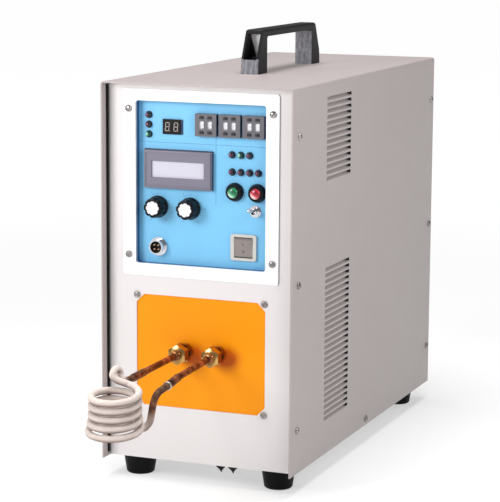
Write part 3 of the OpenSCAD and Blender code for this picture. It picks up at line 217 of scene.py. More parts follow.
# Moulded plastic with a spark-eroded grain
def moulded(name, colour, roughness=0.4, grain=0.25, grainSize=1800, coat=0.0, drift=0.08,
            specular=0.5, glow=0.0):
    shade = Shade(name)
    return shade.surface(
        color=shade.mix(dim(colour, 1 - drift), dim(colour, 1 + drift), shade.noise(30, 2)),
        roughness=shade.noise(90, 3) * 0.14 + (roughness - 0.07),
        normal=shade.relief(shade.noise(grainSize, 3, 0.65), grain, 0.00005), coat=coat,
        specular=specular, glowColour=colour, glow=glow)


# Bare metal: brush draws the fine lines out along an axis, tarnish is its second tone
def metal(name, colour, roughness, brush=(1, 1, 1), tarnish=None, blackFrom=None):
    shade = Shade(name)
    lines = shade.noise(900, 3, 0.6, at=shade.spot(scale=brush))
    patches = shade.ramp(shade.noise(60, 4, 0.6), [(0.4, (0, 0, 0)), (0.75, (1, 1, 1))])
    tone = shade.mix(colour, tarnish or dim(colour, 0.8), patches)
    if blackFrom:  # blackened above this height
        tone = shade.mix(tone, ink(24, 24, 27), shade.here()[2] > blackFrom * mm)
    return shade.surface(
        color=tone, metallic=1.0, roughness=lines * 0.16 + (roughness - 0.08),
        normal=shade.relief(lines, 0.12, 0.00003))


# Lamp lens with painted light: its colour where it faces the front left, turning to the rim colour, a
# painted shade, where its surface turns away from there
def lens(name, colour, rim, spread):
    shade = Shade(name)
    across, out, up = shade.facing()
    swirl = shade.noise(400, 2)
    edge = ((across * 0.55 + out * 0.83 - up * 0.1 + 1) * spread + (swirl - 0.5) * 0.1).clamp()
    return shade.surface(
        color=shade.mix(colour, rim, edge), roughness=swirl * 0.06 + 0.16, coat=0.3, coatRoughness=0.06)


# Moulded handle with painted light: a painted reflection in pale streaks on its front faces, a painted pale
# wedge of light over painted shade in its recess, the rest near black
handle = {
    "streaks": [(0.3, ink(92, 92, 98)), (0.5, ink(118, 118, 124)), (0.7, ink(150, 150, 158))],
    "rimUp": 16.6, "rimRear": 3.0, "hollowRear": 8.8,
    "wedgeUp": 10.0, "wedgeTall": 33.0, "wedgeX": 0.2, "wedgeHalf": 9.0,
}


def handleFace():
    shade = Shade("handlePlastic")
    x, y, z = shade.here()
    streaks = shade.noise(300, 3, 0.6, at=shade.spot(scale=(1, 1, 0.35)))
    rim = shade.band(z, (topZ + handle["rimUp"]) * mm, 1.0, 0.0004)
    rim = rim * shade.band(y, -1.0, handle["rimRear"] * mm, 0.0004)
    # the pale front faces are a painted reflection; their upper front rim stays dark
    front = ((shade.facing()[1] * -1 - 0.75) * 8).clamp() * (1 - rim)
    rise = (z - (topZ + handle["wedgeUp"]) * mm) / (handle["wedgeTall"] * mm)
    reach = (x - handle["wedgeX"] * mm).size() / (handle["wedgeHalf"] * mm)
    # the recess: painted shade with a painted pale wedge of light
    inside = shade.mix(ink(20, 20, 24), ink(255, 255, 255), shade.band(reach - rise, -9.0, 0.0, 0.15))
    hollow = shade.band(y, handle["rimRear"] * mm, handle["hollowRear"] * mm, 0.0003) * (rise > 0)
    paintedLightTone = shade.mix(shade.ramp(streaks, handle["streaks"]), inside, hollow)
    return shade.surface(
        color=shade.mix(ink(17, 17, 20), paintedLightTone, front), roughness=streaks * 0.2 + 0.4,
        normal=shade.relief(shade.noise(1500, 3, 0.65), 0.5, 0.00005), specular=0.22)


# Push-button cap with painted light: painted shade at its rim and above, a painted highlight at its lower
# left
def capGlass(name, x, z, dark, middle, pale, rimRadius=5.3, rimOver=0.6):
    shade = Shade(name)
    right, out, up = shade.about(x, z)
    swirl = shade.noise(300, 2)
    down = (swirl - 0.5) * 0.2 - right * 90 - up * 120
    rim = (((right * right + up * up) ** 0.5 - rimRadius * mm) / (rimOver * mm)).clamp()
    tone = shade.ramp(down * 0.5 + 0.5, [(0.15, middle), (0.38, dark), (0.6, middle), (0.84, pale)])
    return shade.surface(
        color=shade.mix(tone, dim(dark, 0.3), rim), roughness=swirl * 0.06 + 0.2, coat=0.3,
        coatRoughness=0.05)


coverPaint = paint("coverPaint", ink(177, 167, 166), roughness=0.44, grain=0.3, coat=0.04)
frontPaint = paint("frontPaint", ink(226, 221, 221), roughness=0.4, grain=0.22, coat=0.06)
# the bezel's faces that look right get the edge colour, a painted shade
bezelPaint = paint("bezelPaint", ink(246, 245, 248), roughness=0.34, grain=0.15, coat=0.08,
                   edge=ink(112, 108, 112))
blackPlastic = moulded("blackPlastic", ink(20, 20, 23), roughness=0.45)
glossBlack = moulded("glossBlack", ink(18, 18, 22), roughness=0.22, grain=0.08, coat=0.4)
knobBlack = moulded("knobBlack", ink(8, 8, 14), roughness=0.34, grain=0.12, specular=0.2)
rubber = moulded("rubber", ink(6, 6, 7), roughness=0.5, grain=0.3, grainSize=900, drift=0.2, specular=0.12)
creamPlastic = moulded("creamPlastic", ink(198, 196, 191), grain=0.15)
# the digit wheels glow a little: painted light that lifts them in their shaded windows
glowingDrumWhite = moulded("glowingDrumWhite", ink(250, 250, 250), grain=0.1, glow=0.45)
nickel = metal("nickel", ink(182, 178, 176), roughness=0.34, tarnish=ink(116, 110, 108), blackFrom=topZ + 10)
chrome = metal("chrome", ink(226, 226, 230), roughness=0.14, tarnish=ink(196, 196, 202))
potMetal = metal("potMetal", ink(150, 150, 154), roughness=0.35)
brass = metal("brass", ink(206, 166, 104), roughness=0.27, tarnish=ink(132, 92, 50))
moduleMetal = metal("moduleMetal", ink(190, 192, 196), roughness=0.35, brush=(1, 0.03, 1))
# the rim colours are painted shade; the green lens's pale colour is a painted highlight
redLens = lens("redLens", ink(112, 36, 72), ink(24, 10, 28), 2.4)
greenLens = lens("greenLens", ink(150, 224, 196), ink(0, 62, 48), 2.6)
printInk = moulded("printInk", ink(62, 112, 160), roughness=0.5, grain=0.1)
digitInk = moulded("digitInk", ink(150, 148, 158), roughness=0.5, grain=0.1)


# Printed plate: its walls carry painted shade, a darker blue
def platePrint():
    shade = Shade("bluePlate")
    blue = ink(123, 194, 235)
    wall = shade.band(shade.here()[1], (panelY - 5) * mm, (plateY - 0.3) * mm, 0.0003)
    tone = shade.mix(dim(blue, 0.94), dim(blue, 1.05), shade.noise(11, 3))
    return shade.surface(
        color=shade.mix(tone, ink(44, 92, 138), wall), roughness=shade.noise(60, 3) * 0.1 + 0.36,
        normal=shade.relief(shade.noise(1400, 2), 0.12, 0.00004), specular=0.3)


# Insulating board: a cloth-backed sheet under a satin face, with a painted shadow beside each union
board = {
    "orange": ink(248, 151, 0), "unionShadow": ink(172, 60, 2),
    "shift": 10, "down": 2, "radius": 8, "fade": 12, "flat": 0.6, "strength": 0.85,
}


def boardFace():
    shade = Shade("orangeBoard")
    x, y, z = shade.here()
    weave = ((x * 5200).sine() + (z * 5200).sine()) * 0.25 + 0.5
    tone = shade.mix(dim(board["orange"], 0.93), dim(board["orange"], 1.04), shade.noise(14, 3))
    # a painted shadow to the right of each union
    for side in sides:
        across = x - (outputX * side + board["shift"]) * mm
        down = z - (outputZ - board["down"]) * mm
        reach = (across * across * board["flat"] + down * down) ** 0.5
        unionShadow = (1 - (reach - board["radius"] * mm) / (board["fade"] * mm)).clamp()
        tone = shade.mix(tone, board["unionShadow"], unionShadow * unionShadow * board["strength"])
    return shade.surface(
        color=tone, roughness=shade.noise(45, 4) * 0.14 + 0.32,
        normal=shade.relief(weave, 0.06, 0.00004), specular=0.2)


# Zinc-plated tray with its spangle
def zincFace():
    shade = Shade("zinc")
    cell = shade.node("ShaderNodeTexVoronoi", {}, {"Vector": shade.spot(), "Scale": 160}, out=1)
    red, green, blue = shade.axes(cell)
    return shade.surface(
        color=shade.mix(ink(176, 176, 174), ink(204, 205, 206), red), metallic=1.0,
        roughness=green * 0.15 + 0.35)


# Housing with one colour on its face, painted shade on its sides and, where asked, painted light in pale
# wells
def twoTone(name, face, flank, flankY, wells=None):
    shade = Shade(name)
    x, y, z = shade.here()
    if wells:
        cell = (x / (wells["pitch"] * mm) - wells["from"]).wrap()
        within = shade.band(cell, 0.5 - wells["share"], 0.5 + wells["share"], 0.01)
        within = within * shade.band(z, wells["low"] * mm, wells["high"] * mm, 0.0002)
        flank = shade.mix(flank, wells["colour"], within)
    fine = shade.noise(1700, 3, 0.6)
    tone = shade.mix(dim(face, 0.95), dim(face, 1.04), shade.noise(60, 2))
    return shade.surface(
        color=shade.mix(tone, flank, shade.band(y, flankY * mm, (flankY + 60) * mm, 0.0002)),
        roughness=fine * 0.1 + 0.36, normal=shade.relief(fine, 0.25, 0.00004))


# Unlit liquid crystal: pale, with a faint grid of cells
def screenFace():
    shade = Shade("meterScreen")
    x, y, z = shade.here()
    cells = ((x * 1400).wrap() > 0.1) * ((z * 1400).wrap() > 0.1)
    return shade.surface(
        color=shade.mix(ink(188, 184, 200), ink(206, 203, 217), cells * 0.6 + 0.4),
        roughness=shade.noise(50, 2) * 0.05 + 0.14, coat=0.4)


def rockerFace():
    shade = Shade("rockerKey")
    fine = shade.noise(1700, 3, 0.6)
    return shade.surface(
        color=shade.mix(ink(128, 119, 116), ink(146, 136, 132), shade.noise(80, 2)),
        roughness=fine * 0.1 + 0.36, normal=shade.relief(fine, 0.3, 0.00005))


# Turned aluminium face: rings about the knob's own middle
def turnedFace(name, x, z):
    shade = Shade(name)
    right, out, up = shade.about(x, z)
    rings = ((right * right + up * up) ** 0.5 * 14000).sine() * 0.5 + 0.5
    return shade.surface(
        color=shade.mix(ink(222, 222, 228), ink(244, 244, 248), rings), metallic=0.55,
        roughness=rings * 0.12 + 0.3, normal=shade.relief(rings, 0.15, 0.00003))


# Copper tube, browned by heat towards the coil, with painted shade below
heat = {
    "from": 30, "over": 0.09, "undersideShade": ink(34, 18, 15),
    "clean": [(0.35, ink(72, 34, 24)), (0.5, ink(128, 68, 44)), (0.62, ink(204, 136, 100))],
    "baked": [(0.38, ink(34, 18, 16)), (0.5, ink(88, 44, 28)), (0.64, ink(158, 96, 60))],
}


def copperFace():
    shade = Shade("copper")
    patches = shade.noise(90, 5, 0.65)
    baked = ((frontY - heat["from"]) * mm - shade.here()[1]) / heat["over"]
    baked = (baked + (patches - 0.5) * 1.2).clamp()
    tone = shade.mix(shade.ramp(patches, heat["clean"]), shade.ramp(patches, heat["baked"]), baked)
    # painted shade on the underside
    below = (shade.facing()[2] * -1.2).clamp() * 0.85
    return shade.surface(
        color=shade.mix(tone, heat["undersideShade"], below), metallic=0.85, roughness=patches * 0.3 + 0.25,
        normal=shade.relief(shade.noise(700, 3), 0.2, 0.00006))


# Glass-fibre braid along its UV map, whose length is in metres, scorched at both ends, with painted shade on
# its undersides
braid = {
    "strandsAround": 16 * math.pi, "strandsAlong": 3400, "startBurn": 0.012, "startOver": 0.004,
    "thread": (ink(190, 172, 164), ink(238, 227, 220)), "undersideShade": ink(106, 84, 74),
    "burnt": [(0.3, ink(64, 38, 26)), (0.5, ink(116, 74, 50)), (0.72, ink(170, 122, 88))],
    "soot": ink(44, 28, 24), "sootFrom": 1.6, "sootShare": 0.6,
}


def braidFace(burnFrom, burnOver):
    shade = Shade("glassSleeve")
    around, along = shade.along()[:2]
    one, other = around * braid["strandsAround"], along * braid["strandsAlong"]
    weave = (one + other).sine() * (one - other).sine() * 0.5 + 0.5
    slow = shade.noise(120, 3)
    patchy = (slow - 0.5) * 0.8
    clean = shade.mix(*braid["thread"], weave * 0.6 + slow * 0.4)
    # painted shade on the undersides of the turns
    clean = shade.mix(clean, braid["undersideShade"], (shade.facing()[2] * -1.3 + 0.1).clamp() * 0.85)
    burn = ((along - burnFrom) / burnOver + patchy).clamp()
    burn = (burn + ((braid["startBurn"] - along) / braid["startOver"] + patchy).clamp()).clamp()
    soot = ((along - burnFrom - burnOver * braid["sootFrom"]) / burnOver).clamp()
    burnt = shade.mix(shade.ramp(slow, braid["burnt"]), braid["soot"], soot * braid["sootShare"])
    return shade.surface(
        color=shade.mix(clean, burnt, burn), roughness=slow * 0.2 + 0.55,
        normal=shade.relief(weave + slow * 0.5, 0.55, 0.00018), specular=0.2)


def circuitFace():
    shade = Shade("circuitBoard")
    x, y, z = shade.here()
    traces = ((x * 420 + shade.noise(40, 1) * 3).wrap() > 0.82) * ((z * 60).wrap() > 0.2)
    return shade.surface(
        color=shade.mix(ink(26, 92, 56), ink(70, 140, 84), traces), roughness=traces * 0.1 + 0.3, coat=0.3)


copper = copperFace()
print("finishes made")


# Puts a bmesh in the scene as an object, and frees it
def shown(form, name):
    mesh = bpy.data.meshes.new(name)
    form.to_mesh(mesh)
    form.free()
    item = bpy.data.objects.new(name, mesh)
    bpy.context.collection.objects.link(item)
    return item


# Turns a finished bmesh into a piece that rides on a body
def keep(form, name, finish, slot, stands=(), body="machine", sharp=35):
    bmesh.ops.remove_doubles(form, verts=form.verts, dist=0.000002)
    bmesh.ops.recalc_face_normals(form, faces=form.faces)
    for face in form.faces:
        face.smooth = True
    for edge in form.edges:
        edge.smooth = len(edge.link_faces) == 2 and edge.calc_face_angle(0) < math.radians(sharp)
    piece = shown(form, name)
    piece.data.materials.append(finish)
    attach(piece, body)
    if stands:
        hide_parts(*stands)


# Copies one form into another at each place, and frees the first
def stamp(target, source, places):
    for where in places:
        mesh = bpy.data.meshes.new("stamp")
        source.to_mesh(mesh)
        mesh.transform(where)
        target.from_mesh(mesh)
        bpy.data.meshes.remove(mesh)
    source.free()


def copies(source, places):
    form = bmesh.new()
    stamp(form, source, places)
    return form


def moved(form, where):
    bmesh.ops.transform(form, matrix=where, verts=form.verts)
    return form


def placed(x, y, z):  # mm to a matrix
    return Matrix.Translation(Vector((x, y, z)) * mm)


# Local z points out of the front, local x right and local y up
def outFront(x, y, z, turn=0):
    return placed(x, y, z) @ Matrix.Rotation(math.pi / 2, 4, "X") \
        @ Matrix.Rotation(math.radians(turn), 4, "Z")


def onPlate(x, z, out=0, turn=0):
    return outFront(x, plateY - out, windowZ + z, turn)


# Turns local z to an axis
def aimed(axis):
    return Vector((0, 0, 1)).rotation_difference(Vector(axis)).to_matrix().to_4x4()


def newVerts(items):
    return [item for item in items if isinstance(item, bmesh.types.BMVert)]


# Extrudes a rim of edges and gives its new vertices, rim and faces
def grown(form, rim):
    fresh = bmesh.ops.extrude_edge_only(form, edges=rim)["geom"]
    verts = newVerts(fresh)
    own = set(verts)
    rim = [item for item in fresh if isinstance(item, bmesh.types.BMEdge) and own.issuperset(item.verts)]
    return verts, rim, [item for item in fresh if isinstance(item, bmesh.types.BMFace)]


# Gives a flat form its thickness, in mm
def raised(form, thick):
    fresh = bmesh.ops.extrude_face_region(form, geom=form.faces[:])["geom"]
    bmesh.ops.translate(form, vec=(0, 0, thick * mm), verts=newVerts(fresh))
    return form


# A profile of (radius, height) in mm, spun about z
def turned(profile, steps):
    form = bmesh.new()
    line = [form.verts.new((radius * mm, 0, height * mm)) for radius, height in profile]
    edges = [form.edges.new(pair) for pair in zip(line, line[1:])]
    bmesh.ops.spin(form, geom=line + edges, cent=(0, 0, 0), axis=(0, 0, 1), angle=2 * math.pi,
                   steps=steps, use_merge=True)
    bmesh.ops.remove_doubles(form, verts=form.verts, dist=0.000002)
    return form


# A stack of rings (height, radius, depth of flute) in mm, closed at both ends
def fluted(rings, flutes, segments=120, sharpness=5.0):
    form = bmesh.new()
    verts = bmesh.ops.create_circle(form, cap_ends=True, radius=mm, segments=segments)["verts"]
    rim = list(form.edges)
    for level, (height, radius, depth) in enumerate(rings):
        if level:
            verts, rim, faces = grown(form, rim)
        for vert in verts:
            angle = math.atan2(vert.co.y, vert.co.x)
            wave = (0.5 + 0.5 * math.cos(flutes * angle)) ** sharpness
            reach = (radius - depth * wave) * mm
            vert.co = (reach * math.cos(angle), reach * math.sin(angle), height * mm)
    bmesh.ops.contextual_create(form, geom=rim)
    return form


# A bar with rounded corners seen from the front, its back at local z = 0
def slab(width, height, thick, radius=0, bevel=0):
    form = bmesh.new()
    bmesh.ops.create_cube(form, size=mm)
    bmesh.ops.scale(form, vec=(width, height, thick), verts=form.verts)
    bmesh.ops.translate(form, vec=(0, 0, thick * mm / 2), verts=form.verts)
    if radius:
        posts = [edge for edge in form.edges
                 if abs(edge.verts[0].co.z - edge.verts[1].co.z) > 0.5 * thick * mm]
        bmesh.ops.bevel(form, geom=posts, offset=radius * mm, affect="EDGES", segments=4,
                        profile=0.5, material=-1)
    if bevel:
        rim = [edge for edge in form.edges if min(vert.co.z for vert in edge.verts) > (thick - 0.001) * mm]
        bmesh.ops.bevel(form, geom=rim, offset=bevel * mm, affect="EDGES", segments=2,
                        profile=0.5, material=-1)
    return form


# Letters as a flat raised form, middle at the origin
def lettering(words, size, thick):
    curve = bpy.data.curves.new("letters", "FONT")
    curve.body = words
    curve.size = size * mm
    curve.extrude = thick * mm / 2
    curve.align_x = "CENTER"
    curve.align_y = "CENTER"
    holder = bpy.data.objects.new("letters", curve)
    mesh = bpy.data.meshes.new_from_object(holder)
    form = bmesh.new()
    form.from_mesh(mesh)
    bmesh.ops.translate(form, vec=(0, 0, thick * mm / 2), verts=form.verts)
    bpy.data.curves.remove(curve)
    bpy.data.meshes.remove(mesh)
    return form


# A circle drawn along a route, ring by ring, with turn and length kept in the UV map "along"
def swept(route, radius, segments):
    form = bmesh.new()
    layer = form.loops.layers.uv.new("along")
    last = len(route) - 1
    ahead = [(route[min(k + 1, last)] - route[max(k - 1, 0)]).normalized() for k in range(last + 1)]
    side = ahead[0].orthogonal().normalized()
    frames = []
    for point, aim in zip(route, ahead):
        side = (side - aim * side.dot(aim)).normalized()
        turn = Matrix((side, aim.cross(side), aim)).transposed().to_4x4()
        frames.append(Matrix.Translation(point * mm) @ turn)
    ring = bmesh.ops.create_circle(form, cap_ends=True, radius=radius * mm, segments=segments,
                                   matrix=frames[0])["verts"]
    place = {vert: (k / segments, 0.0) for k, vert in enumerate(ring)}
    rim = list(form.edges)
    travelled = 0.0
    for k in range(1, len(route)):
        travelled += (route[k] - route[k - 1]).length * mm
        verts, rim, faces = grown(form, rim)
        bmesh.ops.transform(form, matrix=frames[k] @ frames[k - 1].inverted(), verts=verts)
        home = frames[k].inverted()
        for vert in verts:
            local = home @ vert.co
            place[vert] = (math.atan2(local.y, local.x) / (2 * math.pi) % 1, travelled)
        for face in faces:
            turns = [place[loop.vert][0] for loop in face.loops]
            for loop, turn in zip(face.loops, turns):
                wrapped = turn + 1 if max(turns) - turn > 0.5 else turn
                loop[layer].uv = (wrapped, place[loop.vert][1])
    bmesh.ops.contextual_create(form, geom=rim)
    return form


def between(low, high, share):
    return low + (high - low) * share


# Catmull-Rom curve through the inner points
def smoothed(points, steps):
    line = []
    for a, b, c, d in zip(points, points[1:], points[2:], points[3:]):
        for k in range(steps):
            t = k / steps
            line.append(0.5 * (2 * b + (c - a) * t + (2 * a - 5 * b + 4 * c - d) * t * t
                               + (3 * b - a - 3 * c + d) * t ** 3))
    return line


def finer(route, steps=2):
    ends = [route[0] * 2 - route[1]] + route + [route[-1] * 2 - route[-2]]
    return smoothed(ends, steps) + [route[-1]]


# The work coil's route in mm, the same as in the part's source; tail and lead are shares
coil = {
    "centre": Vector((-20.4, frontY - 155, 138.8)),
    "radius": 24.1, "flare": 3.6, "flareFrom": 2.2, "flarePower": 1.6,
    "turns": 5, "start": 80, "pitch": 8.8, "lean": 7, "tip": 3.5, "steps": 24, "curveSteps": 5,
    "tube": (3.0, 20), "sleeve": (3.65, 28), "barePoints": 4,  # radius and segments
    "unionY": insulatorY - 22, "startY": insulatorY - 3, "endY": frontY - 115,
    "unionZ": 145.5, "couplingLength": 28, "into": 0.2,
    "leftEndZ": 144.3, "leftMidZ": 144.7, "rightEndZ": 139.4, "rightMidZ": 142.8,
    "tailReach": (-13, -20.5, 11.3),
    "tail": [(.19, .32, -.09), (.54, .44, -.04), (.82, .34, .31), (.89, .34, .69), (.96, .59, 1),
             (1, .88, .81), (.96, 1, .45), (.62, .96, .1)],
    "lead": [(.26, .46, -.03), (.424, .5, -.03), (.545, .56, .045), (.69, .67, .19), (.765, .79, .328),
             (.84, .9, .504), (.92, 1, .708), (.971, .93, .876), (1, .69, .963)],
    "burnPoint": 5, "burnOver": 0.011,
}


def outputPoint(side, y, z):
    return Vector((side * outputX, y, z))


leftEnd = outputPoint(-1, coil["endY"], coil["leftEndZ"])
leftMid = outputPoint(-1, coil["endY"] + coil["couplingLength"], coil["leftMidZ"])
rightEnd = outputPoint(1, coil["endY"], coil["rightEndZ"])
rightMid = outputPoint(1, coil["endY"] + coil["couplingLength"], coil["rightMidZ"])
unions = [outputPoint(side, coil["unionY"], coil["unionZ"]) for side in sides]


def coilPoint(turn):
    opened = max(0, (turn - coil["flareFrom"]) / (coil["turns"] - coil["flareFrom"]))
    radius = coil["radius"] + coil["flare"] * opened ** coil["flarePower"]
    angle = math.radians(coil["start"] - 360 * turn)
    x = radius * math.cos(angle)
    y = radius * math.sin(angle)
    z = y * math.tan(math.radians(coil["lean"])) - x * math.tan(math.radians(coil["tip"]))
    return coil["centre"] + Vector((x, y, z - coil["pitch"] * turn))


# Gives the route and the index where the sleeve's scorched end begins
def coilRoute():
    turns = [coilPoint(k / coil["steps"]) for k in range(coil["turns"] * coil["steps"])]
    coilEnd = coilPoint(coil["turns"])
    tail = [leftEnd + Vector([share * reach for share, reach in zip(point, coil["tailReach"])])
            for point in coil["tail"]]
    lead = [Vector((between(coilEnd.x, rightEnd.x, a), rightEnd.y - coil["couplingLength"] * b,
                    between(coilEnd.z, rightEnd.z, c))) for a, b, c in coil["lead"]]
    before = [leftEnd.lerp(leftMid, coil["into"]), leftEnd] + tail + turns[:2]
    after = [turns[-1], coilEnd] + lead + [rightEnd, rightEnd.lerp(rightMid, coil["into"])]
    opening = [outputPoint(-1, coil["startY"], coil["unionZ"]), unions[0], leftMid, before[0]]
    closing = [rightEnd, after[-1], rightMid, unions[1], outputPoint(1, coil["startY"], coil["unionZ"])]
    first = opening + smoothed(before, coil["curveSteps"]) + turns
    burnAt = len(first) + coil["curveSteps"] * coil["burnPoint"]
    return first + smoothed(after, coil["curveSteps"]) + closing, burnAt


def lengthTo(route, index):
    return sum((b - a).length for a, b in zip(route[:index], route[1:index + 1])) * mm


route, burnAt = coilRoute()
bare = coil["barePoints"]
sleeved = route[bare:-bare]
tube = route[:bare] + finer(sleeved) + route[-bare:]
sleeveFinish = braidFace(lengthTo(sleeved, burnAt - bare), coil["burnOver"])
keep(swept(tube, *coil["tube"]), "coilTube", copper, "copper", ["work_coil"])
keep(swept(finer(sleeved), *coil["sleeve"]), "coilBraid", sleeveFinish, "glass_sleeve", ["coil_sleeve"])
print("coil and sleeve made")

# Ferrule and thread collar where each tube leaves its union
ferrule = {
    "profile": [(3.2, -7.0), (4.2, -7.0), (4.5, -6.6), (4.5, -5.4), (3.9, -5.0), (3.9, -4.4),
                (5.0, -4.0), (5.3, -3.5), (5.3, -2.2), (4.9, -1.8), (5.3, -1.4), (4.9, -1.0),
                (5.3, -0.6), (5.0, 0.2), (3.2, 0.4), (3.2, -7.0)],
    "bronze": metal("ferruleBronze", ink(168, 118, 78), roughness=0.3, tarnish=ink(84, 52, 34)),
}
ferrules = copies(turned(ferrule["profile"], 36),
                  [placed(*point) @ Matrix.Rotation(-math.pi / 2, 4, "X") for point in unions])
keep(ferrules, "unionFerrules", ferrule["bronze"], "brass")

# Straight tubes between unions and couplings, and the clamp band at the right one's foot
leg = {
    "tube": (3.5, 24), "from": 0.04, "to": 0.98, "steps": 24, "bandAt": 0.02,
    "band": [(4.0, -1.3), (4.55, -1.1), (4.75, -0.3), (4.75, 0.4), (4.5, 1.1), (4.0, 1.3), (4.0, -1.3)],
}
legs = bmesh.new()
for near, far in zip(unions, (leftMid, rightMid)):
    shares = [between(leg["from"], leg["to"], k / leg["steps"]) for k in range(leg["steps"] + 1)]
    run = swept([near.lerp(far, share) for share in shares], *leg["tube"])
    stamp(legs, run, [Matrix.Identity(4)])
keep(legs, "tubeLegs", copper, "copper")
bandPlace = placed(*rightEnd.lerp(rightMid, leg["bandAt"])) @ aimed((rightEnd - rightMid).normalized())
keep(moved(turned(leg["band"], 32), bandPlace), "clampBand",
     metal("bandSteel", ink(206, 200, 192), roughness=0.3), "screw_steel")

# Two black knobs with bold flutes and a turned face
knob = {
    "places": {"left": -52.6, "right": -14.8}, "turns": (22, 16), "z": -26.6, "flutes": 8,
    "grip": [(0.8, 11.6, 0), (1.2, 11.95, 0), (3.4, 11.95, 0), (4.0, 11.6, 0), (4.4, 11.4, 0.8),
             (9.0, 11.1, 1.1), (15.2, 10.6, 1.3), (16.2, 10.2, 1.3), (16.6, 9.2, 1.2), (16.5, 7.4, 1.0)],
    "face": [(15.6, 7.5, 1.1), (16.6, 7.5, 1.1), (16.8, 7.2, 1.0), (16.75, 4.0, 0.2), (16.6, 3.7, 0.1)],
}
for (hand, x), turn in zip(knob["places"].items(), knob["turns"]):
    place = onPlate(x, knob["z"], 0, turn)
    keep(moved(fluted(knob["grip"], knob["flutes"]), place), hand + "KnobGrip", knobBlack,
         "black_gloss", ["knob_" + hand], hand + "_knob", 30)
    faceFinish = turnedFace(hand + "KnobTurned", x, windowZ + knob["z"])
    keep(moved(fluted(knob["face"], knob["flutes"]), place), hand + "KnobFace", faceFinish,
         "knob_face", ["knob_cap_" + hand], hand + "_knob", 30)
print("knobs made")

# Signal lamps: a black bezel and a domed lens each
lamp = {
    "red": [(-63.5, 72.2), (-63.5, 61.8), (33, 33.5), (53, 33.5), (33, 15.2), (43, 15.2), (53, 15.2),
            (63, 15.2)],
    "green": [(-63.5, 51.4), (43, 33.5)],
    "lens": {"red": redLens, "green": greenLens},
    "bezel": [(3.25, 0.02), (4.0, 0.02), (4.0, 0.7), (3.75, 1.05), (3.4, 1.1), (3.25, 0.9), (3.25, 0.02)],
    "dome": [(0, 0.2), (3.2, 0.2), (3.2, 2.2), (3.08, 3.0), (2.75, 3.9), (2.2, 4.6), (1.4, 5.05),
             (0.6, 5.2), (0, 5.22)],
}
lampRims = bmesh.new()
for colour, glass in lamp["lens"].items():
    places = [onPlate(x, z) for x, z in lamp[colour]]
    domes = copies(turned(lamp["dome"], 32), places)
    stamp(lampRims, turned(lamp["bezel"], 32), places)
    keep(domes, colour + "LampDomes", glass, colour + "_lens", [colour + "_lamps"])
keep(lampRims, "lampRims", blackPlastic, "black_moulding")

# Push-button caps: a shallow dome with a soft rim
button = {
    # for each cap: its painted shade, its own colour and its painted highlight
    "places": {"start": (36.4, "green_cap", (ink(8, 78, 54), ink(24, 142, 86), ink(196, 234, 214))),
               "stop": (62.0, "red_cap", (ink(120, 14, 38), ink(198, 34, 56), ink(250, 214, 214)))},
    "z": -6,
    "cap": [(0, 1.2), (6.2, 1.2), (6.2, 6.2), (6.05, 6.9), (5.6, 7.5), (4.9, 8.1), (3.7, 8.7),
            (2.0, 9.05), (0, 9.15)],
}
for job, (x, slotName, colours) in button["places"].items():
    glass = capGlass(job + "CapGlass", x, windowZ + button["z"], *colours)
    keep(moved(turned(button["cap"], 56), onPlate(x, button["z"])), job + "ButtonCap", glass,
         slotName, [job + "_button"], job + "_button_body", 40)

# Two-digit display: unlit segments let into the black face
display = {
    "x": -36.6, "z": 60.2, "digitX": 5.0, "out": 1.6, "slant": 5, "thick": 0.12,
    "width": 4.2, "height": 8.8, "stroke": 0.85, "gap": 0.25,
    "level": [(0, 2), (0, 0), (0, -2)],  # half widths across, quarter heights up
    "upright": [(-1, 1), (1, 1), (-1, -1), (1, -1)],
    "dotRadius": 0.5, "dotX": 2.85, "dotZ": -4.4,
    "ink": moulded("unlitSegment", ink(176, 166, 162), grain=0.1),
}


# A raised disc whose sides are drawn apart to a stroke
def strokeForm(radius, segments, length=0):
    form = bmesh.new()
    bmesh.ops.create_circle(form, cap_ends=True, radius=radius * mm, segments=segments)
    for vert in form.verts:
        if length and abs(vert.co.x) > 0.2 * radius * mm:
            vert.co.x += math.copysign(length / 2 * mm, vert.co.x)
    return raised(form, display["thick"])


segments = bmesh.new()
lean = Matrix.Identity(4)
lean[0][1] = math.tan(math.radians(display["slant"]))
for digit in sides:
    x = display["x"] + digit * display["digitX"]
    face = onPlate(x, display["z"], display["out"]) @ lean
    for places, full, turn in ((display["level"], display["width"], 0),
                               (display["upright"], display["height"] / 2, math.pi / 2)):
        bar = strokeForm(display["stroke"] / 2, 6, full - display["stroke"] - display["gap"])
        stamp(segments, bar, [
            face @ placed(across * display["width"] / 2, up * display["height"] / 4, 0)
            @ Matrix.Rotation(turn, 4, "Z") for across, up in places])
    stamp(segments, strokeForm(display["dotRadius"], 12),
          [onPlate(x + display["dotX"], display["z"] + display["dotZ"], display["out"])])
keep(segments, "displaySegments", display["ink"], "digit_white")
print("lamps, buttons and display made")

# Numbers on the six digit wheels, bent round each drum
drum = {
    "firstX": 4.6, "pitch": 27.2, "digitX": 4.6, "z": 64.0, "in": 5.0, "radius": 7.8,
    "size": 3.7, "wide": 0.95, "thick": 0.05, "lift": 0.01,
}
for index in range(6):
    x = drum["firstX"] + drum["pitch"] * (index // 2) + sides[index % 2] * drum["digitX"]
    marks = bmesh.new()
    for number in range(10):
        figure = lettering(str(number), drum["size"], drum["thick"])
        bmesh.ops.scale(figure, vec=(drum["wide"], 1, 1), verts=figure.verts)
        for vert in figure.verts:
            angle = vert.co.y / (drum["radius"] * mm) + math.radians(36 * number)
            reach = (drum["radius"] + drum["lift"]) * mm + vert.co.z
            vert.co = (vert.co.x, reach * math.sin(angle), reach * math.cos(angle))
        stamp(marks, figure, [onPlate(x, drum["z"], -drum["in"])])
    keep(marks, "drumNumbers%d" % (index + 1), digitInk, "black_moulding",
         body="digit_wheel_%d_body" % (index + 1))

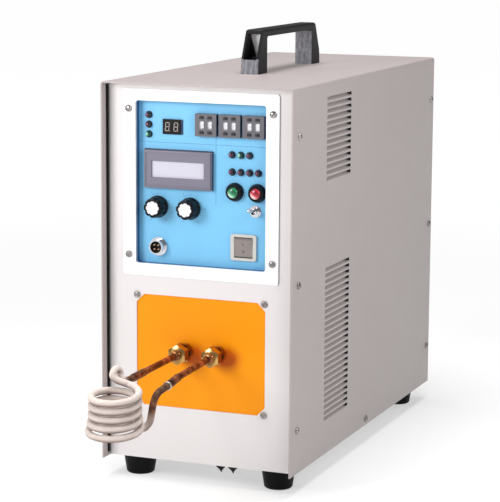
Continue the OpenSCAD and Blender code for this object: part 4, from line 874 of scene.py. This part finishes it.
# Printing on the blue plate: rules (x, z, width, height), and ticks and numbers round each knob
printing = {
    "rules": [(0, 43.0, 150, 0.35), (14.3, 17.4, 0.35, 78)], "thick": 0.05,
    "tickFrom": 13.6, "tickLength": 1.6, "tickWidth": 0.32, "numberRadius": 17.2, "numberSize": 2.2,
    "sweep": 300, "marks": 11,
}
prints = bmesh.new()
for x, z, width, height in printing["rules"]:
    stamp(prints, slab(width, height, printing["thick"]), [onPlate(x, z)])
for x in knob["places"].values():
    for mark in range(printing["marks"]):
        turn = 90 + printing["sweep"] * (0.5 - mark / (printing["marks"] - 1))
        aim = Vector((math.cos(math.radians(turn)), math.sin(math.radians(turn))))
        middle = Vector((x, knob["z"]))
        tickX, tickZ = middle + aim * (printing["tickFrom"] + printing["tickLength"] / 2)
        tick = slab(printing["tickLength"], printing["tickWidth"], printing["thick"])
        stamp(prints, tick, [onPlate(tickX, tickZ, 0, turn)])
        if mark % 2 == 0:
            number = lettering(str(mark), printing["numberSize"], printing["thick"])
            stamp(prints, number, [onPlate(*(middle + aim * printing["numberRadius"]))])
keep(prints, "platePrinting", printInk, "blue_plate")

# Meter: ridges along the long edges of its bezel, their paler grey a painted highlight
meter = {"x": -28.2, "z": 14.4, "edge": 19.2, "out": 4.4, "ridge": (76, 0.9, 0.5)}
ridges = copies(slab(*meter["ridge"], radius=0.4, bevel=0.2),
                [onPlate(meter["x"], meter["z"] - side * meter["edge"], meter["out"]) for side in sides])
keep(ridges, "meterRidges", moulded("meterRidge", ink(156, 152, 170), roughness=0.35), "meter_grey")


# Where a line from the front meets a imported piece, with local z along its normal
def seat(name, x, z, lift):
    form = bmesh.new()
    form.from_mesh(nodes[name].data)
    spot, normal = BVHTree.FromBMesh(form).ray_cast((x * mm, -1, z * mm), (0, 1, 0))[:2]
    form.free()
    upward = (Vector((0, 0, 1)) - normal * normal.z).normalized()
    turn = Matrix((upward.cross(normal), upward, normal)).transposed().to_4x4()
    return Matrix.Translation(spot + normal * lift * mm) @ turn


# Rocker marks: a bar and a ring, printed on the key's two halves
rocker = {
    "x": 47, "z": -65, "bar": (2.2, 0.9, 0.08), "barUp": 3.4, "ringUp": -4.2, "lift": 0.01,
    "ring": [(0.8, 0), (1.35, 0), (1.35, 0.08), (0.8, 0.08), (0.8, 0)],
}
marks = bmesh.new()
for form, up in ((slab(*rocker["bar"]), rocker["barUp"]),
                 (turned(rocker["ring"], 28), rocker["ringUp"])):
    markZ = windowZ + rocker["z"] + up
    stamp(marks, form, [seat("rocker_key", rocker["x"], markZ, rocker["lift"])])
keep(marks, "rockerMarks", moulded("markInk", ink(52, 44, 44), roughness=0.5), "dark_insert",
     body="rocker_key_body")

# Dark navy strips that show beside the housings on the plate, a painted shadow: x, z, width, height, corner
shadowStrip = {"thick": 0.9, "sheets": [(-28.4, 14.8, 79.8, 42.2, 0.5), (-24.8, 60.2, 1.9, 16.1, 0.3)]}
sheets = bmesh.new()
for x, z, width, height, corner in shadowStrip["sheets"]:
    stamp(sheets, slab(width, height, shadowStrip["thick"], radius=corner, bevel=0.15), [onPlate(x, z)])
keep(sheets, "plateShadowStrips", moulded("shadowStripNavy", ink(30, 46, 82), roughness=0.55), "black_moulding")

# Black rubber strips on the cover's inner walls, beside the front panel: a painted shadow in the gap there
gapStrip = {"thick": 0.9, "deep": 4.8, "low": 26, "high": 432, "wall": 1.2}
gapStripX = halfWidth - gapStrip["wall"] - gapStrip["thick"] / 2
gapStrips = copies(slab(gapStrip["thick"], gapStrip["high"] - gapStrip["low"], gapStrip["deep"], bevel=0.3),
               [outFront(side * gapStripX, panelY, (gapStrip["low"] + gapStrip["high"]) / 2) for side in sides])
keep(gapStrips, "panelGapStrips", rubber, "black_rubber")

# Black sheets behind the louvres, a painted shade that darkens their openings, with a turned-out rim that
# meets the wall
louvreShade = {
    "from": 99, "length": 92, "deep": 6.2, "thick": 1.0, "rim": 3.0, "wall": 1.25,
    "spans": [(322, 424), (50, 236)],
    "shadeSheets": moulded("louvreShadeBlack", ink(10, 10, 11), roughness=0.9, grain=0.8, grainSize=700, specular=0.1),
}
shadeSheets = bmesh.new()
for side in sides:
    for low, high in louvreShade["spans"]:
        sheet = bmesh.new()
        bmesh.ops.create_cube(sheet, size=mm)
        bmesh.ops.scale(sheet, vec=(louvreShade["deep"], louvreShade["length"], high - low), verts=sheet.verts)
        outer = [face for face in sheet.faces if face.normal.x * side > 0.9]
        bmesh.ops.inset_region(sheet, faces=outer, thickness=louvreShade["rim"] * mm)
        bmesh.ops.translate(sheet, vec=(-side * (louvreShade["deep"] - louvreShade["thick"]) * mm, 0, 0),
                            verts=list({vert for face in outer for vert in face.verts}))
        stamp(shadeSheets, sheet, [placed(side * (halfWidth - louvreShade["wall"] - louvreShade["deep"] / 2),
                                   frontY + louvreShade["from"] + louvreShade["length"] / 2, (low + high) / 2)])
keep(shadeSheets, "louvreShadeSheets", louvreShade["shadeSheets"], "black_rubber")

# Black wedges in the rear end of every louvre, thinning towards the front: a painted shade for the dark
# openings there
louvre = {
    "rear": 184.5, "pitch": 6.7, "groups": [(17, 14), (204, 26)],  # drop from the top, count
    "under": 0.25, "below": 0.3, "tall": 3.4, "deep": 2.9, "long": 11, "thin": 0.35,
    "finish": moulded("endShadeBlack", ink(9, 9, 10), roughness=0.85, specular=0.1),
}
endShade = bmesh.new()
endShade.faces.new([endShade.verts.new((x * mm, 0, z * mm))
                for x, z in ((0, -louvre["tall"]), (0, 0), (-louvre["deep"], 0))])
tip = newVerts(bmesh.ops.extrude_face_region(endShade, geom=endShade.faces[:])["geom"])
bmesh.ops.scale(endShade, vec=(louvre["thin"], 1, louvre["thin"]), verts=tip)
bmesh.ops.translate(endShade, vec=(0, -louvre["long"] * mm, 0), verts=tip)
endShades = copies(endShade, [
    placed(side * (halfWidth - louvre["under"]), frontY + louvre["rear"],
           topZ - drop - row * louvre["pitch"] - louvre["below"])
    @ Matrix.Scale(side, 4, (1, 0, 0))
    for side in sides for drop, count in louvre["groups"] for row in range(count)])
keep(endShades, "louvreEndShades", louvre["finish"], "black_rubber")

# Gilt tips on the control socket's four pins
socket = {
    "x": -52, "z": -70, "ring": 3.3, "angles": [math.radians(45 + 90 * quarter) for quarter in range(4)],
    "pin": [(0, 4.0), (0.95, 4.0), (0.95, 7.2), (0.7, 7.6), (0, 7.7)],
    "gilt": metal("giltPins", ink(244, 214, 176), roughness=0.34, tarnish=ink(224, 180, 140)),
}
pins = copies(turned(socket["pin"], 20), [
    onPlate(socket["x"] + socket["ring"] * math.cos(angle), socket["z"] + socket["ring"] * math.sin(angle))
    for angle in socket["angles"]])
keep(pins, "socketPins", socket["gilt"], "brass")

# Wide rubber points on the two clips under the front edge
clip = {
    "places": (22, 36), "y": -150.9,
    "point": [(0, -5.6), (1.2, -5.5), (5.6, -0.9), (5.6, -0.3), (0, -0.3)],
}
points = copies(turned(clip["point"], 28), [placed(x, clip["y"], bottomZ) for x in clip["places"]])
keep(points, "clipPoints", rubber, "black_rubber")
print("printing, shadowStrips and louvreShading made")

# Pan-head screws with a cross recess
screw = {
    "head": [(0, 0), (3.75, 0), (3.8, 0.5), (3.6, 1.3), (3.0, 2.0), (2.0, 2.45), (0.8, 2.6), (0, 2.6)],
    "slot": (4.4, 0.75, 3), "slotFrom": 1.3, "turn": 37,
    "bezelX": 83, "bezelZ": 79, "insulatorX": 74, "insulatorZ": 60.5,
    "sideDrops": (52, 209, 366), "sideFront": 20, "sideRear": 11, "sideLow": 8,
    "fanX": 52.5, "fanIn": 4, "handleY": 254, "handleReach": 86.75, "handleUp": 16,
    "footX": 82, "footIn": 40, "footZ": 17.5,
}


# Cuts one form out of another with a Boolean
def carved(body, cutter):
    holders = []
    for form in (body, cutter):
        bmesh.ops.recalc_face_normals(form, faces=form.faces)
        holders.append(shown(form, "carved"))
    cut = holders[0].modifiers.new("cut", "BOOLEAN")
    cut.operation = "DIFFERENCE"
    cut.solver = "EXACT"
    cut.object = holders[1]
    bpy.context.view_layer.update()
    ready = holders[0].evaluated_get(bpy.context.evaluated_depsgraph_get())
    result = bmesh.new()
    result.from_mesh(ready.to_mesh())
    ready.to_mesh_clear()
    for holder in holders:
        bpy.data.meshes.remove(holder.data)
    return result


# Each screw's outward axis and place
def screwPlaces():
    places = []
    middleY = (frontY + rearY) / 2
    for side in sides:
        wallX = side * halfWidth
        for up in sides:
            places += [
                ((0, -1, 0), (side * screw["bezelX"], bezelY, windowZ + up * screw["bezelZ"])),
                ((0, -1, 0), (side * screw["insulatorX"], panelY, outputZ + up * screw["insulatorZ"])),
                ((0, 1, 0), (side * screw["fanX"], rearY - screw["fanIn"], fanZ + up * screw["fanX"]))]
        for drop in screw["sideDrops"]:
            for y in (frontY + screw["sideFront"], rearY - screw["sideRear"]):
                places.append(((side, 0, 0), (wallX, y, topZ - drop)))
        places.append(((side, 0, 0), (wallX, middleY, bottomZ + screw["sideLow"])))
        handleY = frontY + screw["handleY"] + side * screw["handleReach"]
        places.append(((0, 0, 1), (0, handleY, topZ + screw["handleUp"])))
        for y in (frontY + screw["footIn"], rearY - screw["footIn"]):
            places.append(((0, 0, -1), (side * screw["footX"], y, screw["footZ"])))
    return places


screwHead = turned(screw["head"], 32)
for turn in (0, math.pi / 2):
    where = placed(0, 0, screw["slotFrom"]) @ Matrix.Rotation(turn, 4, "Z")
    screwHead = carved(screwHead, moved(slab(*screw["slot"]), where))
screws = copies(screwHead, [
    placed(*point) @ aimed(axis) @ Matrix.Rotation(math.radians(screw["turn"] * index), 4, "Z")
    for index, (axis, point) in enumerate(screwPlaces())])
keep(screws, "panHeadScrews", nickel, "screw_steel", ["case_screws"], sharp=30)
print("screws made")

# The two grey housings: where their painted side shade begins, and the painted light of the pale wells in
# the thumbwheel blocks
housing = {
    "meterY": plateY - 4.0, "meterFace": ink(118, 114, 130), "meterSideShade": ink(34, 50, 84),
    "thumbY": plateY - 5.6, "thumbFace": ink(96, 94, 100), "thumbSideShade": ink(30, 38, 62),
    "wells": {"pitch": drum["pitch"], "from": drum["firstX"] / drum["pitch"] - 0.5, "share": 0.36,
              "low": windowZ + 54, "high": windowZ + 74, "colour": ink(206, 206, 210)},
}

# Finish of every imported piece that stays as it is
carried = {
    "cover": coverPaint, "base_plate": zincFace(), "front_panel": frontPaint, "rear_panel": frontPaint,
    "bezel_plate": bezelPaint, "control_plate": platePrint(), "insulating_plate": boardFace(),
    "handle": handleFace(), "rubber_feet": rubber, "base_clips": blackPlastic,
    "button_collars": knobBlack, "cable_gland": blackPlastic, "coil_couplings": copper,
    "control_board": circuitFace(), "fan_frame": blackPlastic, "fan_rotor": glossBlack,
    "digit_display": moulded("displayBlack", ink(10, 7, 9), specular=0.2),
    "meter_bezel": twoTone("meterHousing", housing["meterFace"], housing["meterSideShade"], housing["meterY"]),
    "meter_screen": screenFace(),
    "output_transformer": moulded("coreDark", ink(52, 48, 46), roughness=0.6, grain=0.6, grainSize=600),
    "output_unions": brass, "potentiometers": potMetal, "power_module": moduleMetal,
    "rocker_frame": creamPlastic, "rocker_key": rockerFace(), "socket_shell": chrome,
    "socket_insert": moulded("socketDark", ink(26, 20, 20), roughness=0.5, specular=0.2),
    "thumbwheel_frames": twoTone("thumbHousing", housing["thumbFace"], housing["thumbSideShade"],
                                 housing["thumbY"], housing["wells"]),
    "toggle_lever": chrome, "toggle_switch": chrome, "water_nozzles": brass,
}
for index in range(1, 7):
    carried["digit_wheel_%d" % index] = glowingDrumWhite
    carried["digit_up_%d" % index] = blackPlastic
    carried["digit_down_%d" % index] = blackPlastic
for name, finish in carried.items():
    for materialSlot in nodes[name].material_slots:
        materialSlot.material = finish

# Studio: a pale floor that glows more far out, three round lamps and an even white sky
studio = {
    "floor": ink(200, 200, 200), "floorSize": 80, "glow": (0.46, 0.84), "glowFrom": 0.8, "glowOver": 1.6,
    "skyStrength": 0.25,
    "lamps": {  # place, target, size and power
        "key": ((-0.44, -0.82, 0.6), (-0.05, -0.16, 0.3), 0.4, 4.6),
        "side": ((0.6, -0.5, 0.62), (0.11, -0.16, 0.32), 0.35, 1.5),
        "top": ((0, 0, 1.9), (0, 0.1, 0), 1.2, 31.0)},
}
floorForm = bmesh.new()
bmesh.ops.create_grid(floorForm, x_segments=1, y_segments=1, size=studio["floorSize"] / 2)
floor = shown(floorForm, "studioFloor")
floorShade = Shade("studioFloor")
floorX, floorY = floorShade.here()[:2]
reach = (floorX * floorX + floorY * floorY) ** 0.5
farOut = ((reach - studio["glowFrom"]) / studio["glowOver"]).clamp()
floor.data.materials.append(floorShade.surface(
    color=floorShade.mix(studio["floor"], dim(studio["floor"], 0.99), floorShade.noise(3, 2)),
    roughness=0.8, specular=0.1, glow=1.0,
    glowColour=floorShade.mix(*[(share,) * 3 for share in studio["glow"]], farOut)))

for name, (position, target, size, power) in studio["lamps"].items():
    box = bpy.data.objects.new(name + "Box", bpy.data.lights.new(name + "Box", "AREA"))
    box.data.energy = power
    box.data.shape = "DISK"
    box.data.size = size
    box.location = position
    box.rotation_euler = (Vector(position) - Vector(target)).to_track_quat("Z", "Y").to_euler()
    bpy.context.collection.objects.link(box)

world = bpy.data.worlds.new("studioSky")
world.use_nodes = True
sky = world.node_tree.nodes["Background"].inputs
sky["Color"].default_value = (1, 1, 1, 1)
sky["Strength"].default_value = studio["skyStrength"]
bpy.context.scene.world = world
bpy.context.scene.view_settings.view_transform = "Standard"

# Camera, solved from the case's edges in the photograph: metres, degrees and mm of lens
view = {
    "position": (0.8503, -2.15155, 0.6197), "azimuth": 21.698, "elevation": 9.485, "roll": 0.357,
    "lens": 148.08, "sensor": 36, "reach": 200,
}
turn = Matrix.Identity(4)
for angle, axis in ((view["azimuth"], "Z"), (90 - view["elevation"], "X"), (view["roll"], "Z")):
    turn = turn @ Matrix.Rotation(math.radians(angle), 4, axis)
camera = bpy.data.objects.new("camera", bpy.data.cameras.new("camera"))
camera.data.lens = view["lens"]
camera.data.sensor_width = view["sensor"]
camera.data.sensor_fit = "HORIZONTAL"
camera.data.clip_end = view["reach"]
camera.matrix_world = Matrix.Translation(view["position"]) @ turn
bpy.context.collection.objects.link(camera)
bpy.context.scene.camera = camera

print("scene ready")
